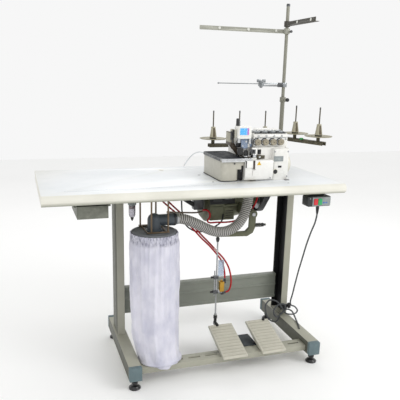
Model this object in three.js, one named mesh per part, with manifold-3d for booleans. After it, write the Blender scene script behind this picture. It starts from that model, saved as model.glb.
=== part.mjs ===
// Industrial serger (overlock) machine on its table stand. Millimetres, +Z up.
// The model is laid out from the middle of the table at floor level: X runs right along the
// table, Y runs to the back. The exported group is moved so that its origin is the bottom
// centre of the whole object's box.
import * as THREE from 'three';
import { mergeVertices } from 'three/addons/utils/BufferGeometryUtils.js';
import Module from 'manifold-3d';

const wasm = await Module();
wasm.setup();

// ---- driving dimensions ----
const GAP = 0.3;
const TABLE = { length: 1200, depth: 550, thick: 40, top: 800 };
const TABLE_UNDER = TABLE.top - TABLE.thick;
const LEG_X = { left: -274.7, right: 516.6 };
const POST = { width: 32, front: 40, back: 147, wall: 3 };
const BEAM = { width: 50, low: 42, high: 99, front: -249, back: 231 };
const CAP_LENGTH = 20;
const PAD = { radius: 24, front: -243.6, back: 217.6 };
const CROSSBAR = { front: 110, back: 140, low: 165, high: 288 };
const PEDAL_BAR = { front: -232, back: -170, low: 50, high: 75 };
const PEDAL = { width: 108, pivotY: -200, pivotZ: 90, toHeel: 62, toToe: 148, tilt: 15.5 };
const PEDAL_X = { left: 150, right: 328 };
const ROD = { x: 134, y: -42, radius: 3.5, low: 152, high: 534 };
const LEVER = { pivotX: 292, pivotZ: 636, y: -42, thick: 14 };
const MOTOR = { y: 165, z: 650, radius: 84, left: 120, right: 258 };
const BELT = { x: 408, width: 10, motorRadius: 36, wheelRadius: 30 };
const WHEEL = { y: -20, z: 850, radius: 44, left: 417, right: 452 };
const BAG = { x: -172, y: -142, radius: 103, lid: 620 };
const ELBOW = { radius: 27, z: 662, right: -86 };
const HOSE = { diameter: 42 };
const BED = { left: 106, right: 405, front: -130, back: 98, low: 803, plate: 886 };
const STAND = { x: 525, y: 200, radius: 11, jointZ: 1125, top: 1533 };
const SPOOL = { radius: 61, pinHeight: 125, coneHeight: 40 };

// ---- materials ----
const paint = (color, roughness = 0.55, metalness = 0.1) =>
  new THREE.MeshStandardMaterial({ color, roughness, metalness });

const LAMINATE = 0xe9ebec;
const STAND_PAINT = 0xaaa999;
const BAR_PAINT = 0x7c8078;
const CAP_BLUE = 0x5e6f72;
const BLACK = 0x1c1c1e;
const MOTOR_OLIVE = 0x5a5b45;
const STEEL = 0xb4b6b8;
const IVORY = 0xe9e8e2;
const GREIGE = 0xb5b2a4;
const RED = 0xb0101a;

// ---- solids ----
function toSolid(geometry) {
  const bare = geometry.clone();
  bare.deleteAttribute('normal');
  bare.deleteAttribute('uv');
  const merged = mergeVertices(bare, 1e-4);
  return new wasm.Manifold(new wasm.Mesh({
    numProp: 3,
    vertProperties: new Float32Array(merged.attributes.position.array),
    triVerts: new Uint32Array(merged.index.array),
  }));
}

function toGeometry(solid) {
  const mesh = solid.getMesh();
  const geometry = new THREE.BufferGeometry();
  geometry.setAttribute('position', new THREE.BufferAttribute(mesh.vertProperties, 3));
  geometry.setIndex(new THREE.BufferAttribute(mesh.triVerts, 1));
  return geometry;
}

function join(...geometries) {
  return toGeometry(geometries.map(toSolid).reduce((sum, solid) => sum.add(solid)));
}

function cut(base, ...tools) {
  return toGeometry(tools.map(toSolid).reduce((rest, tool) => rest.subtract(tool), toSolid(base)));
}

// A box from its lowest corner to its highest corner.
function box(x0, y0, z0, x1, y1, z1) {
  const geometry = new THREE.BoxGeometry(x1 - x0, y1 - y0, z1 - z0);
  return geometry.translate((x0 + x1) / 2, (y0 + y1) / 2, (z0 + z1) / 2);
}

// A cylinder along 'x', 'y' or 'z' whose low end is centred on (x, y, z).
function rod(axis, x, y, z, length, radius, sides = 20, endRadius = radius) {
  const geometry = new THREE.CylinderGeometry(endRadius, radius, length, sides);
  geometry.translate(0, length / 2, 0);
  if (axis === 'x') geometry.rotateZ(-Math.PI / 2);
  if (axis === 'z') geometry.rotateX(Math.PI / 2);
  return geometry.translate(x, y, z);
}

// A lathe solid about the vertical line through (x, y); profile points are [radius, z].
function turned(x, y, profile, sides = 24) {
  const points = profile.map(([radius, z]) => new THREE.Vector2(radius, z));
  const geometry = new THREE.LatheGeometry(points, sides);
  geometry.rotateX(Math.PI / 2);
  return geometry.translate(x, y, 0);
}

// A flat outline pushed along an axis: 'x' outlines are [y, z], 'y' are [x, z], 'z' are [x, y].
function prism(axis, outline, from, to) {
  const points = outline.map(([a, b]) => new THREE.Vector2(a, b));
  const geometry = new THREE.ExtrudeGeometry(new THREE.Shape(points), {
    depth: to - from, bevelEnabled: false, curveSegments: 8,
  });
  if (axis === 'x') geometry.rotateX(Math.PI / 2).rotateZ(Math.PI / 2).translate(from, 0, 0);
  if (axis === 'y') geometry.rotateX(Math.PI / 2).translate(0, to, 0);
  if (axis === 'z') geometry.translate(0, 0, from);
  return geometry;
}

// The corner points of a rectangle with round corners.
function roundRect(a0, b0, a1, b1, radius, steps = 4) {
  const corners = [
    [a1 - radius, b0 + radius, -90], [a1 - radius, b1 - radius, 0],
    [a0 + radius, b1 - radius, 90], [a0 + radius, b0 + radius, 180],
  ];
  return corners.flatMap(([a, b, start]) => Array.from({ length: steps + 1 }, (_, i) => {
    const angle = THREE.MathUtils.degToRad(start + 90 * i / steps);
    return [a + radius * Math.cos(angle), b + radius * Math.sin(angle)];
  }));
}

// A round tube along a smooth curve through hand-placed points.
function tube(points, diameter, sides, steps) {
  const places = points.map((p) => new THREE.Vector3(...p));
  const curve = new THREE.CatmullRomCurve3(places, false, 'centripetal');
  const outline = Array.from({ length: sides }, (_, i) => {
    const angle = 2 * Math.PI * i / sides;
    return new THREE.Vector2(diameter / 2 * Math.cos(angle), diameter / 2 * Math.sin(angle));
  });
  const shape = new THREE.Shape(outline);
  return new THREE.ExtrudeGeometry(shape, { steps, extrudePath: curve, bevelEnabled: false });
}

// ---- scene graph ----
const layout = new THREE.Group();

function add(name, geometry, material) {
  const mesh = new THREE.Mesh(geometry, material);
  mesh.name = name;
  layout.add(mesh);
  return mesh;
}

// ---- table ----
// The front edge is a full bullnose; the belt and the dust hose pass through the top.
const HOSE_HOLE = { x: 238, y: -112, radius: 27 };

function buildTable() {
  const halfDepth = TABLE.depth / 2;
  const nose = Array.from({ length: 7 }, (_, i) => {
    const angle = Math.PI / 2 + Math.PI * i / 6;
    const radius = TABLE.thick / 2;
    return [radius - halfDepth + radius * Math.cos(angle), TABLE.top - radius + radius * Math.sin(angle)];
  });
  const outline = [...nose, [halfDepth, TABLE_UNDER], [halfDepth, TABLE.top]];
  const top = prism('x', outline, -TABLE.length / 2, TABLE.length / 2);
  const beltSlot = box(BELT.x - 12, -60, TABLE_UNDER - 1, BELT.x + 14, 120, TABLE.top + 1);
  const hoseHole = rod('z', HOSE_HOLE.x, HOSE_HOLE.y, TABLE_UNDER - 1, TABLE.thick + 2, HOSE_HOLE.radius);
  const tubeHole = rod('z', -60, 190, TABLE_UNDER - 1, TABLE.thick + 2, 12, 12);
  const poleHole = rod('z', STAND.x, STAND.y, TABLE_UNDER - 1, TABLE.thick + 2, 9, 16);
  add('table_top', cut(top, beltSlot, hoseHole, tubeHole, poleHole), paint(LAMINATE, 0.35, 0));
}

// ---- stand: two welded legs, a crossbar, the pedal bar, caps and levelling feet ----
function buildLeg(side) {
  const x = LEG_X[side];
  const outward = side === 'left' ? -1 : 1;
  const half = POST.width / 2;
  const post = box(x - half, POST.front, BEAM.high - 1, x + half, POST.back, TABLE_UNDER - 6);
  // the post is a channel, open towards the middle of the table
  const inner = x - outward * (half + 1);
  const web = x + outward * (half - POST.wall);
  const channel = box(Math.min(inner, web), POST.front + POST.wall, BEAM.high + 4,
    Math.max(inner, web), POST.back - POST.wall, TABLE_UNDER - 12);
  const beam = box(x - BEAM.width / 2, BEAM.front, BEAM.low, x + BEAM.width / 2, BEAM.back, BEAM.high);
  const plate = box(x - 30, -170, TABLE_UNDER - 7, x + 30, 225, TABLE_UNDER - GAP);
  add(`${side}_leg`, join(cut(post, channel), beam, plate), paint(STAND_PAINT));
}

function buildCapsAndFeet(side) {
  const x = LEG_X[side];
  const half = BEAM.width / 2 + 0.5;
  const capProfile = roundRect(x - half, BEAM.low - 0.5, x + half, BEAM.high + 0.5, 3, 2);
  add(`${side}_front_cap`,
    prism('y', capProfile, BEAM.front - CAP_LENGTH, BEAM.front - GAP), paint(CAP_BLUE, 0.6, 0));
  add(`${side}_rear_cap`,
    prism('y', capProfile, BEAM.back + GAP, BEAM.back + CAP_LENGTH), paint(CAP_BLUE, 0.6, 0));
  const stemTop = BEAM.low - 1;
  const pad = [[0, 0], [PAD.radius, 0], [PAD.radius, 6], [17, 13], [9, 16], [9, 22], [13, 22],
    [13, 30], [6, 30], [6, stemTop], [0, stemTop]];
  add(`${side}_front_foot`, turned(x, PAD.front, pad, 16), paint(BLACK, 0.5, 0.2));
  add(`${side}_rear_foot`, turned(x, PAD.back, pad, 16), paint(BLACK, 0.5, 0.2));
}

// A pressed steel channel with two raised rails along its face and a bolted flange at each end.
function buildCrossbar() {
  const left = LEG_X.left + POST.width / 2 + GAP;
  const right = LEG_X.right - POST.width / 2 - GAP;
  const { front, back, low, high } = CROSSBAR;
  const lip = 12;
  const outline = [[back, low], [back, high], [front, high], [front, high - lip],
    [front + 4, high - lip - 3],
    [front + 4, high - 46], [front, high - 49], [front, high - 59], [front + 4, high - 62],
    [front + 4, low + lip + 3], [front, low + lip], [front, low]];
  const hollow = box(left + 8, front + 10, low - 1, right - 8, back - 3, high - 4);
  add('crossbar', cut(prism('x', outline, left, right), hollow), paint(BAR_PAINT));
}

// The slotted channel between the foot beams, with the lugs that the pedals turn on.
function buildPedalBar() {
  const left = LEG_X.left + BEAM.width / 2 + GAP;
  const right = LEG_X.right - BEAM.width / 2 - GAP;
  const { front, back, low, high } = PEDAL_BAR;
  const channel = box(left + 5, front + 3, low - 1, right - 5, back - 3, high - 3);
  const slots = [-190, -115, -40, 35, 420].map((x) => box(x, -206, high - 4, x + 52, -194, high + 1));
  let bar = cut(box(left, front, low, right, back, high), channel, ...slots);
  for (const x of Object.values(PEDAL_X)) {
    for (const lug of [x - 36, x + 30]) {
      const outline = [[-216, high - 1], [-184, high - 1], [-194, PEDAL.pivotZ + 3.5],
        [-206, PEDAL.pivotZ + 3.5]];
      bar = join(bar, prism('x', outline, lug, lug + 6));
    }
  }
  add('pedal_bar', bar, paint(STAND_PAINT));
}

// ---- pedals ----
// A shallow cast tread with cross ribs, side skirts and a hinge pin held between the lugs.
function buildPedal(side) {
  const half = PEDAL.width / 2;
  const { toHeel, toToe } = PEDAL;
  const tread = [[-toHeel, 6], [-toHeel + 4, 12], [toToe - 4, 12], [toToe, 8], [toToe, 2],
    [toToe - 3, 2], [toToe - 3, 7], [-toHeel + 4, 7], [-toHeel + 4, 3], [-toHeel, 3]];
  let pedal = prism('x', tread, -half, half);
  for (const x of [-half, half - 3]) {
    const skirt = [[-toHeel, 3], [-toHeel, 9], [toToe, 9], [toToe, 0], [40, -6], [-12, -6]];
    pedal = join(pedal, prism('x', skirt, x, x + 3));
  }
  for (let y = -toHeel + 18; y < toToe - 10; y += 18) {
    const rib = [[y, 11], [y + 2, 14], [y + 7, 14], [y + 9, 11]];
    pedal = join(pedal, prism('x', rib, -half + 12, half - 12));
  }
  const pinHalf = 29.5;
  pedal = join(pedal, rod('x', -pinHalf, 0, 0, 2 * pinHalf, 4, 12), box(-24, -7, -4, 24, 7, 8));
  pedal.rotateX(THREE.MathUtils.degToRad(PEDAL.tilt));
  const mesh = add(`${side}_pedal`, pedal, paint(GREIGE, 0.6, 0));
  mesh.position.set(PEDAL_X[side], PEDAL.pivotY, PEDAL.pivotZ);
}

// ---- drawer ----
const DRAWER = { x0: -474, x1: -360, front: -205, back: -10, low: 696, high: 744 };

function buildDrawer() {
  const { x0, x1, front, back, low, high } = DRAWER;
  const sheet = 2;
  const well = box(x0 + sheet, front + sheet, low + sheet, x1 - sheet, back - sheet, high + 1);
  const tray = cut(box(x0, front, low, x1, back, high), well);
  const leftLip = box(x0 - 7, front + 12, high - sheet, x0 + 1, back, high);
  const rightLip = box(x1 - 1, front + 12, high - sheet, x1 + 7, back, high);
  add('drawer', join(tray, leftLip, rightLip), paint(0x6b6d63, 0.5, 0.4));
  const rail = (x, outward) => {
    const web = x + outward * 8.5;
    const upright = box(Math.min(web, web + outward * 2), front + 14, high - 6,
      Math.max(web, web + outward * 2), back + 6, TABLE_UNDER - GAP);
    const shelf = box(Math.min(x + outward * 2, web + outward * 2), front + 14, high - 6,
      Math.max(x + outward * 2, web + outward * 2), back + 6, high - 3);
    return join(upright, shelf);
  };
  const bridge = box(x0 - 10.5, back + 4, TABLE_UNDER - 4, x1 + 10.5, back + 20, TABLE_UNDER - GAP);
  const end = box(x0 - 10.5, back + 4, high - 6, x1 + 10.5, back + 6, TABLE_UNDER - GAP);
  add('drawer_rails', join(rail(x0, -1), rail(x1, 1), end, bridge), paint(0x55574f, 0.5, 0.4));
}

// ---- start and stop switch under the right end of the front edge ----
const SWITCH = { x0: 446, x1: 552, front: -238, back: -192, low: 704, high: 746 };
const BUTTON = { width: 17, height: 26, z: 711, travel: 3 };
const BUTTON_X = { stop_button: 474, start_button: 493.5 };

function buildSwitch() {
  const { x0, x1, front, back, low, high } = SWITCH;
  const body = prism('y', roundRect(x0, low, x1, high, 6, 3), front, back);
  const wells = Object.values(BUTTON_X).map((x) => box(x - GAP, front - 1, BUTTON.z - GAP,
    x + BUTTON.width + GAP, front + 14, BUTTON.z + BUTTON.height + GAP));
  const hanger = box(x0 + 20, back - 24, high - 1, x1 - 20, back - 2, TABLE_UNDER - GAP);
  const gland = rod('z', 509, -212, low - 12, 14, 7, 12);
  add('switch_box', join(cut(body, ...wells), hanger, gland), paint(0x8d8f8e, 0.5, 0.1));
  for (const [name, x] of Object.entries(BUTTON_X)) {
    const face = front - 5;
    const outline = roundRect(x, BUTTON.z, x + BUTTON.width, BUTTON.z + BUTTON.height, 2, 2);
    const color = name === 'stop_button' ? 0xc21822 : 0x18a060;
    add(name, prism('y', outline, face, front + 9), paint(color, 0.35, 0));
  }
}

// ---- clutch motor under the table ----
function buildMotor() {
  const { y, z, radius, left, right } = MOTOR;
  const shell = rod('x', left + 14, y, z, right - left - 14, radius, 20);
  const endBell = rod('x', left, y, z, 15, radius - 18, 20, radius);
  const clutch = rod('x', right - 1, y, z, 72, radius - 8, 20, radius - 22);
  const nose = rod('x', right + 70, y, z, 62, 24, 20);
  const flange = rod('x', right + 88, y, z, 8, 40, 20);
  const saddle = box(left + 20, y - 46, z + 40, right - 10, y + 46, TABLE_UNDER - 8);
  const plate = box(left, y - 80, TABLE_UNDER - 9, right + 10, y + 80, TABLE_UNDER - GAP);
  const terminalBox = box(left + 10, y - radius - 26, z - 60, left + 124, y - radius + 20, z + 66);
  const ribs = [0, 1, 2, 3].map((i) => rod('x', left + 18 + 28 * i, y, z, 5, radius + 4, 20));
  // a bracket carries the clutch lever's pivot out in front of the shell
  const { pivotX, pivotZ } = LEVER;
  const bracket = box(pivotX - 18, LEVER.y + 22, pivotZ - 22, pivotX + 6, y - 40, pivotZ + 22);
  const boss = rod('y', pivotX, LEVER.y - 12, pivotZ, 36, 7.5, 16);
  const body = join(shell, endBell, clutch, nose, flange, saddle, plate, terminalBox, ...ribs,
    bracket, boss);
  add('motor', body, paint(MOTOR_OLIVE, 0.5, 0.2));
}

// A cranked cast arm: its pivot at the clutch, a drop on the right, then a long arm to the rod.
function buildClutchLever() {
  const { pivotX, pivotZ, y, thick } = LEVER;
  const outline = [[pivotX + 14, pivotZ + 6], [pivotX + 8, pivotZ + 14], [pivotX - 8, pivotZ + 14],
    [pivotX - 14, pivotZ + 6], [pivotX - 16, pivotZ - 60], [pivotX - 32, pivotZ - 76],
    [ROD.x - 10, pivotZ - 78], [ROD.x - 10, pivotZ - 92],
    [pivotX - 24, pivotZ - 98], [pivotX + 2, pivotZ - 84], [pivotX + 14, pivotZ - 56]];
  const arm = prism('y', outline, y - thick / 2, y + thick / 2);
  const hub = rod('y', pivotX, y - 12, pivotZ, 24, 18, 24);
  const spring = rod('x', pivotX + 6, y, pivotZ - 52, 58, 5, 12);
  const bore = rod('y', pivotX, y - 30, pivotZ, 60, 7.8, 16);
  add('clutch_lever', cut(join(arm, hub, spring), bore), paint(MOTOR_OLIVE, 0.5, 0.2));
}

// ---- belt drive ----
// A vee groove pulley about the line through (y, z); the belt sits in its groove.
function pulley(x, y, z, radius, width, boreRadius) {
  const rim = radius + 8;
  const half = width / 2 + 4;
  const profile = [[boreRadius, -half], [rim, -half], [rim, -half + 2], [radius - 1, -width / 2 + 2],
    [radius - 1, width / 2 - 2], [rim, half - 2], [rim, half], [boreRadius, half], [boreRadius, -half]];
  const geometry = turned(0, 0, profile, 24);
  return geometry.rotateY(Math.PI / 2).translate(x, y, z);
}

function buildMotorPulley() {
  const groove = pulley(BELT.x, MOTOR.y, MOTOR.z, BELT.motorRadius, BELT.width, 8);
  const shaft = rod('x', MOTOR.right + 132 + GAP, MOTOR.y, MOTOR.z, 28, 9, 16);
  add('motor_pulley', join(groove, shaft), paint(0x6f7173, 0.4, 0.7));
}

// The belt's loop as a rounded outline with its middle cut away.
function beltOutline(motorRadius, wheelRadius, steps = 10) {
  const dy = WHEEL.y - MOTOR.y;
  const dz = WHEEL.z - MOTOR.z;
  const along = Math.atan2(dz, dy);
  const spread = Math.acos((motorRadius - wheelRadius) / Math.hypot(dy, dz));
  const arc = (cy, cz, radius, from, to) => Array.from({ length: steps + 1 }, (_, i) => {
    const angle = from + (to - from) * i / steps;
    return [cy + radius * Math.cos(angle), cz + radius * Math.sin(angle)];
  });
  return [...arc(MOTOR.y, MOTOR.z, motorRadius, along + spread, along + 2 * Math.PI - spread),
    ...arc(WHEEL.y, WHEEL.z, wheelRadius, along - spread, along + spread)];
}

function buildBelt() {
  const thick = 6;
  const half = BELT.width / 2 - 2.5;
  const outside = beltOutline(BELT.motorRadius + thick, BELT.wheelRadius + thick);
  const inside = beltOutline(BELT.motorRadius, BELT.wheelRadius);
  const outer = prism('x', outside, BELT.x - half, BELT.x + half);
  const inner = prism('x', inside, BELT.x - half - 1, BELT.x + half + 1);
  add('drive_belt', cut(outer, inner), paint(BLACK, 0.8, 0));
}

// ---- treadle rod with its air valve ----
function buildTreadleRod() {
  const { x, y, low, high } = ROD;
  const main = rod('z', x, y, low, high - low, ROD.radius, 12);
  const ballProfile = [[0, high - 12], [6, high - 9], [8, high - 2], [6, high + 4], [0, high + 8]];
  const ball = turned(x, y, ballProfile, 16);
  const clevisProfile = [[0, low - 4], [6, low - 4], [6, low + 12], [8, low + 14], [8, low + 24],
    [0, low + 24]];
  const clevis = turned(x, y, clevisProfile, 12);
  const side = rod('z', x - 9, y, 272, 116, 3, 10);
  const clampHigh = box(x - 15, y - 7, 352, x + 7, y + 7, 366);
  const clampLow = box(x - 15, y - 7, 284, x + 26, y + 7, 296);
  const valve = box(x + 14, y - 9, 290, x + 34, y + 9, 336);
  const elbowHigh = box(x + 30, y - 6, 326, x + 44, y + 6, 338);
  const elbowLow = box(x + 20, y - 6, 274, x + 36, y + 6, 291);
  const rodNode = join(main, ball, clevis, side, clampHigh, clampLow, valve, elbowHigh, elbowLow);
  add('treadle_rod', rodNode, paint(STEEL, 0.35, 0.8));
}

// ---- dust bag on its four hangers ----
const HANGER = {
  rods: [[-194, -188], [-128, -188], [-214, -78], [-148, -70]],
  radius: 3.5,
  flange: 11,
  bar: 4,
};

// Two cross bars under the lid's rods, tied by two side straps; each rod ends in a flange.
function buildHanger() {
  const { bar, radius, flange } = HANGER;
  const low = BAG.lid + 1;
  const barTop = low + bar;
  const strapTop = barTop - 1;
  let frame = join(
    box(-210, -193, low, -123, -183, barTop),
    box(-219, -83, low, -129, -65, barTop),
    box(-211, -190, low, -206, -74, strapTop),
    box(-135, -190, low, -129, -68, strapTop),
  );
  for (const [x, y] of HANGER.rods) {
    const length = TABLE_UNDER - GAP - low - 1;
    frame = join(frame, rod('z', x, y, low + 1, length, radius, 10),
      rod('z', x, y, TABLE_UNDER - 4, 4 - GAP, flange, 16));
  }
  add('bag_hanger', frame, paint(0x6b5b48, 0.5, 0.5));
}

function buildLidAndElbow() {
  const lidProfile = [[0, BAG.lid - 26], [86, BAG.lid - 26], [88, BAG.lid - 22], [88, BAG.lid - 4],
    [85, BAG.lid], [0, BAG.lid]];
  const lid = turned(BAG.x, BAG.y, lidProfile, 24);
  add('bag_lid', cut(lid, rod('z', BAG.x, BAG.y, BAG.lid - 30, 40, 22)), paint(0x6b6d70, 0.6, 0));
  const { radius, z, right } = ELBOW;
  const path = [[BAG.x, BAG.y, BAG.lid + GAP], [BAG.x, BAG.y, BAG.lid + 14], [BAG.x + 3, BAG.y, z - 18],
    [BAG.x + 18, BAG.y, z - 3], [BAG.x + 40, BAG.y, z], [right - 12, BAG.y, z]];
  const body = tube(path, 2 * radius, 16, 10);
  const borePath = [[BAG.x, BAG.y, BAG.lid - 8], ...path.slice(1, -1), [right + 2, BAG.y, z]];
  const bore = tube(borePath, 2 * radius - 8, 12, 10);
  const collar = rod('x', right - 34, BAG.y, z, 34, radius - 1, 16);
  const ring = rod('z', BAG.x, BAG.y, BAG.lid + GAP, 7, radius + 5, 16);
  add('lid_elbow', cut(join(body, collar, ring), bore), paint(0x4a5258, 0.5, 0));
}

// The filled bag hangs from the lid, leans off the foot beam and sags over the pedal bar.
function buildDustBag() {
  const low = 52;
  const hem = BAG.lid - 26.5;
  const profile = [[0, low], [64, low], [79, low + 8], [90, 130], [98, 210], [BAG.radius, 330],
    [BAG.radius, BAG.lid - 70], [99, BAG.lid - 34], [99, BAG.lid - 18], [91, BAG.lid - 5],
    [88.4, BAG.lid - 12], [88.4, hem], [0, hem]];
  const bag = turned(0, 0, profile, 24);
  const place = bag.attributes.position;
  const leanFrom = 330;
  const lean = { x: 24, y: -26 };
  for (let i = 0; i < place.count; i += 1) {
    const drop = Math.max(0, (leanFrom - place.getZ(i)) / (leanFrom - low)) ** 2;
    const x = BAG.x + place.getX(i) + lean.x * drop;
    const y = BAG.y + place.getY(i) + lean.y * drop;
    place.setXYZ(i, x, y, place.getZ(i));
  }
  const { front, back, high } = PEDAL_BAR;
  const overBar = box(LEG_X.left, front - 2, 0, 0, back + 2, high + 2);
  add('dust_bag', cut(bag, overBar), paint(0xd8d8e4, 0.9, 0));
}

// ---- air line ----
function buildAirFilter() {
  const x = -231;
  const y = 0;
  const profile = [[0, 626], [4, 630], [5, 640], [12, 650], [14, 664], [14, 694], [17, 696],
    [17, 728], [0, 728]];
  const bowl = turned(x, y, profile, 20);
  const bracket = box(x - 4, y - 12, 724, x + 4, y + 12, TABLE_UNDER - GAP);
  const foot = box(x - 11, y - 14, TABLE_UNDER - 4, x + 11, y + 14, TABLE_UNDER - GAP);
  add('air_filter', join(bowl, bracket, foot), paint(0xc9a27a, 0.3, 0));
}

// ---- belt guard ----
function buildBeltGuard() {
  const x0 = BELT.x - 14;
  const x1 = BELT.x + 15;
  const wall = 3;
  const outer = prism('x', beltOutline(56, 50), x0, x1);
  const inner = prism('x', beltOutline(56 - wall, 50 - wall), x0 - 1, x1 - wall);
  const above = box(x0 - 5, -200, TABLE_UNDER - GAP, x1 + 5, 300, 1000);
  const flange = box(x1 - wall, 0, TABLE_UNDER - 4, x1 + 22, 110, TABLE_UNDER - GAP);
  add('belt_guard', join(cut(outer, inner, above), flange), paint(0x26282a, 0.6, 0.2));
}

// ---- machine head ----
const COVER = { x0: 206, x1: 330, front: -141, back: -121, low: 804.5, high: 885.6 };
const NEEDLE = { x: 224, y: -85 };
const KNOB_X = [265, 300, 335, 369];
const KNOB = { z: 956, radius: 13, length: 22, face: -104 };

function buildBed() {
  const { left, front, back, plate } = BED;
  const low = TABLE.top + GAP;
  const shell = prism('z', roundRect(left, front, 181, back, 16), low, plate - GAP);
  const step = box(160, front + 0.5, 849, 192, back - 2, plate - GAP);
  const tip = box(185, front + 0.5, 864, 204.5, -60, plate - GAP);
  add('machine_bed', join(shell, step, tip), paint(GREIGE, 0.45, 0.1));
  const outline = roundRect(left - 3, front - 6, 212.7, back, 14);
  const strip = prism('z', roundRect(195, front - 6, 236, -119.5, 5), plate, plate + 8);
  const plateSolid = join(prism('z', outline, plate, plate + 8), strip);
  const notch = box(205, NEEDLE.y - 16, plate - 1, 214, NEEDLE.y + 34, plate + 9);
  add('cloth_plate', cut(plateSolid, notch), paint(0x3a3c42, 0.35, 0.5));
}

function buildBody() {
  const { right, front, back, plate } = BED;
  const low = TABLE.top + GAP;
  const base = prism('z', roundRect(205, -119, 397, back, 10), low, plate);
  const corner = prism('z', roundRect(332, front - 4, right, -72, 12), low, 930);
  const throat = box(213.3, -119, plate - 6, 264, -30, plate + 7);
  const column = prism('z', roundRect(262, -112, 397, 62, 14), plate - 2, 934);
  const head = prism('x', roundRect(KNOB.face, 930, 24, 990, 12), 254, 405);
  const arm = box(196, -70, 934, 258, 20, 969);
  const bush = box(NEEDLE.x - 14, NEEDLE.y - 13, 934, NEEDLE.x + 14, -68, 966);
  const rear = prism('z', roundRect(214, 20, 300, 88, 12), plate - 2, 930);
  const studs = KNOB_X.map((x) => rod('y', x, KNOB.face - 12, KNOB.z, 14, 3, 10));
  const rails = [0, 1, 2, 3].map((i) => box(262 + 35 * i, -92, 989, 286 + 35 * i, -40, 993));
  const shaft = rod('x', 396, WHEEL.y, WHEEL.z, 2.6, 12, 16);
  const needleBore = rod('z', NEEDLE.x, NEEDLE.y, 925, 60, 4.3, 14);
  const needleSlot = box(NEEDLE.x - 9, NEEDLE.y - 8, 862, NEEDLE.x + 9, NEEDLE.y + 8, 900);
  const beltRelief = box(397.6, -71, low - 1, right + 1, 40, 906);
  const solid = join(base, corner, throat, column, head, arm, bush, rear, ...studs, ...rails, shaft);
  add('machine_body', cut(solid, needleBore, needleSlot, beltRelief), paint(IVORY, 0.35, 0.05));
}

function buildLooperCover() {
  const { x0, x1, front, back, low, high } = COVER;
  const outline = [[back, low], [back, high - 6], [back - 5, high], [front + 6, high],
    [front + 1, high - 4], [front, high - 12], [front, low + 22], [front + 2, low + 8], [front + 7, low]];
  const slot = box(x0 + 34, front - 1, high - 40, x0 + 44, front + 8, high + 1);
  const finger = box(x0 + 4, front - 1, high - 62, x0 + 34, front + 4, high - 30);
  add('looper_cover', cut(prism('x', outline, x0, x1), slot, finger), paint(0xeeede8, 0.3, 0));
}

function buildHandwheel() {
  const groove = pulley(BELT.x, WHEEL.y, WHEEL.z, BELT.wheelRadius, BELT.width, 8);
  const { left, right, radius } = WHEEL;
  const profile = [[0, -1], [10, -1], [10, 4], [radius - 6, 4], [radius, 10], [radius, right - left - 8],
    [radius - 5, right - left], [radius - 12, right - left], [radius - 16, right - left - 8],
    [14, right - left - 6], [12, right - left - 2], [0, right - left - 2]];
  const wheel = turned(0, 0, profile, 24).rotateY(Math.PI / 2).translate(left, WHEEL.y, WHEEL.z);
  const core = rod('x', BELT.x - 9, WHEEL.y, WHEEL.z, 19, BELT.wheelRadius - 2, 24);
  add('handwheel', join(groove, core, wheel), paint(0xdedcd0, 0.35, 0.1));
}

function buildTensionKnobs() {
  KNOB_X.forEach((x, i) => {
    const { z, radius, length, face } = KNOB;
    const profile = [[3.3, GAP], [radius, GAP], [radius, 3], [radius - 3, 4], [radius - 3, 7], [radius, 8],
      [radius, length - 2], [radius - 2, length], [3.3, length], [3.3, GAP]];
    const knob = turned(0, 0, profile, 12).rotateX(Math.PI / 2).translate(x, face, z);
    add(`tension_knob_${i + 1}`, knob, paint(0xa8a290, 0.45, 0.2));
  });
}

function buildNeedleBar() {
  const { x, y } = NEEDLE;
  const bar = rod('z', x, y, 906, 69, 4, 14);
  const clamp = box(x - 8, y - 7, 906, x + 8, y + 7, 918);
  const needles = [-4, 3].map((dx) => rod('z', x + dx, y, 897, 10, 1, 8, 1.2));
  add('needle_bar', join(bar, clamp, ...needles), paint(STEEL, 0.25, 0.9));
}

function buildPresser() {
  const { x, y } = NEEDLE;
  const needleHole = box(x - 10, y - 8, 890, x + 10, y + 8, 905);
  const sole = cut(box(x - 17, y - 28, 895.5, x + 15, y + 24, 899), needleHole);
  const toe = box(x - 17, y + 10, 895.5, x - 11, y + 24, 906);
  const arm = prism('y', [[162, 938], [198, 897], [213, 897], [213, 905],
    [178, 950], [162, 950]], y + 12, y + 24);
  const housing = prism('z', roundRect(162, y + 4, 178, -22, 4), 940, 993);
  add('presser_foot', join(sole, toe, arm, housing), paint(0xb9b6a8, 0.35, 0.4));
}

function buildHeadCover() {
  const shell = prism('y', roundRect(180, 970, 238, 1020, 5, 3), -112, -72);
  const pocket = rod('z', NEEDLE.x, NEEDLE.y, 968, 20, 7, 16);
  const foot = box(198, -73, 969.3, 250, -24, 992);
  const knobProfile = [[0, 1018], [6, 1018], [6, 1024], [5, 1026], [5, 1047], [3, 1050], [0, 1050]];
  const knob = turned(186.5, -88, knobProfile, 14);
  const tapper = rod('z', 197, -84, 1018, 20, 2.5, 10);
  const screen = box(186, -113.5, 985, 224, -110, 1013);
  add('head_cover', join(cut(shell, pocket), foot, knob, tapper, screen), paint(IVORY, 0.35, 0));
}

// ---- thread stand ----
const PIN_LEFT = [[185, 200], [312, 200], [442, 200]];
const PIN_RIGHT = [[556, 117], [601, -17]];
const LOW_LEFT = { low: 898, high: 914, disc: 934 };
const LOW_RIGHT = { low: 928, high: 944, disc: 963 };

function collar(low, high) {
  return cut(rod('z', STAND.x, STAND.y, low, high - low, 19, 20),
    rod('z', STAND.x, STAND.y, low - 1, high - low + 2, STAND.radius - 0.6, 20));
}

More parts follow.
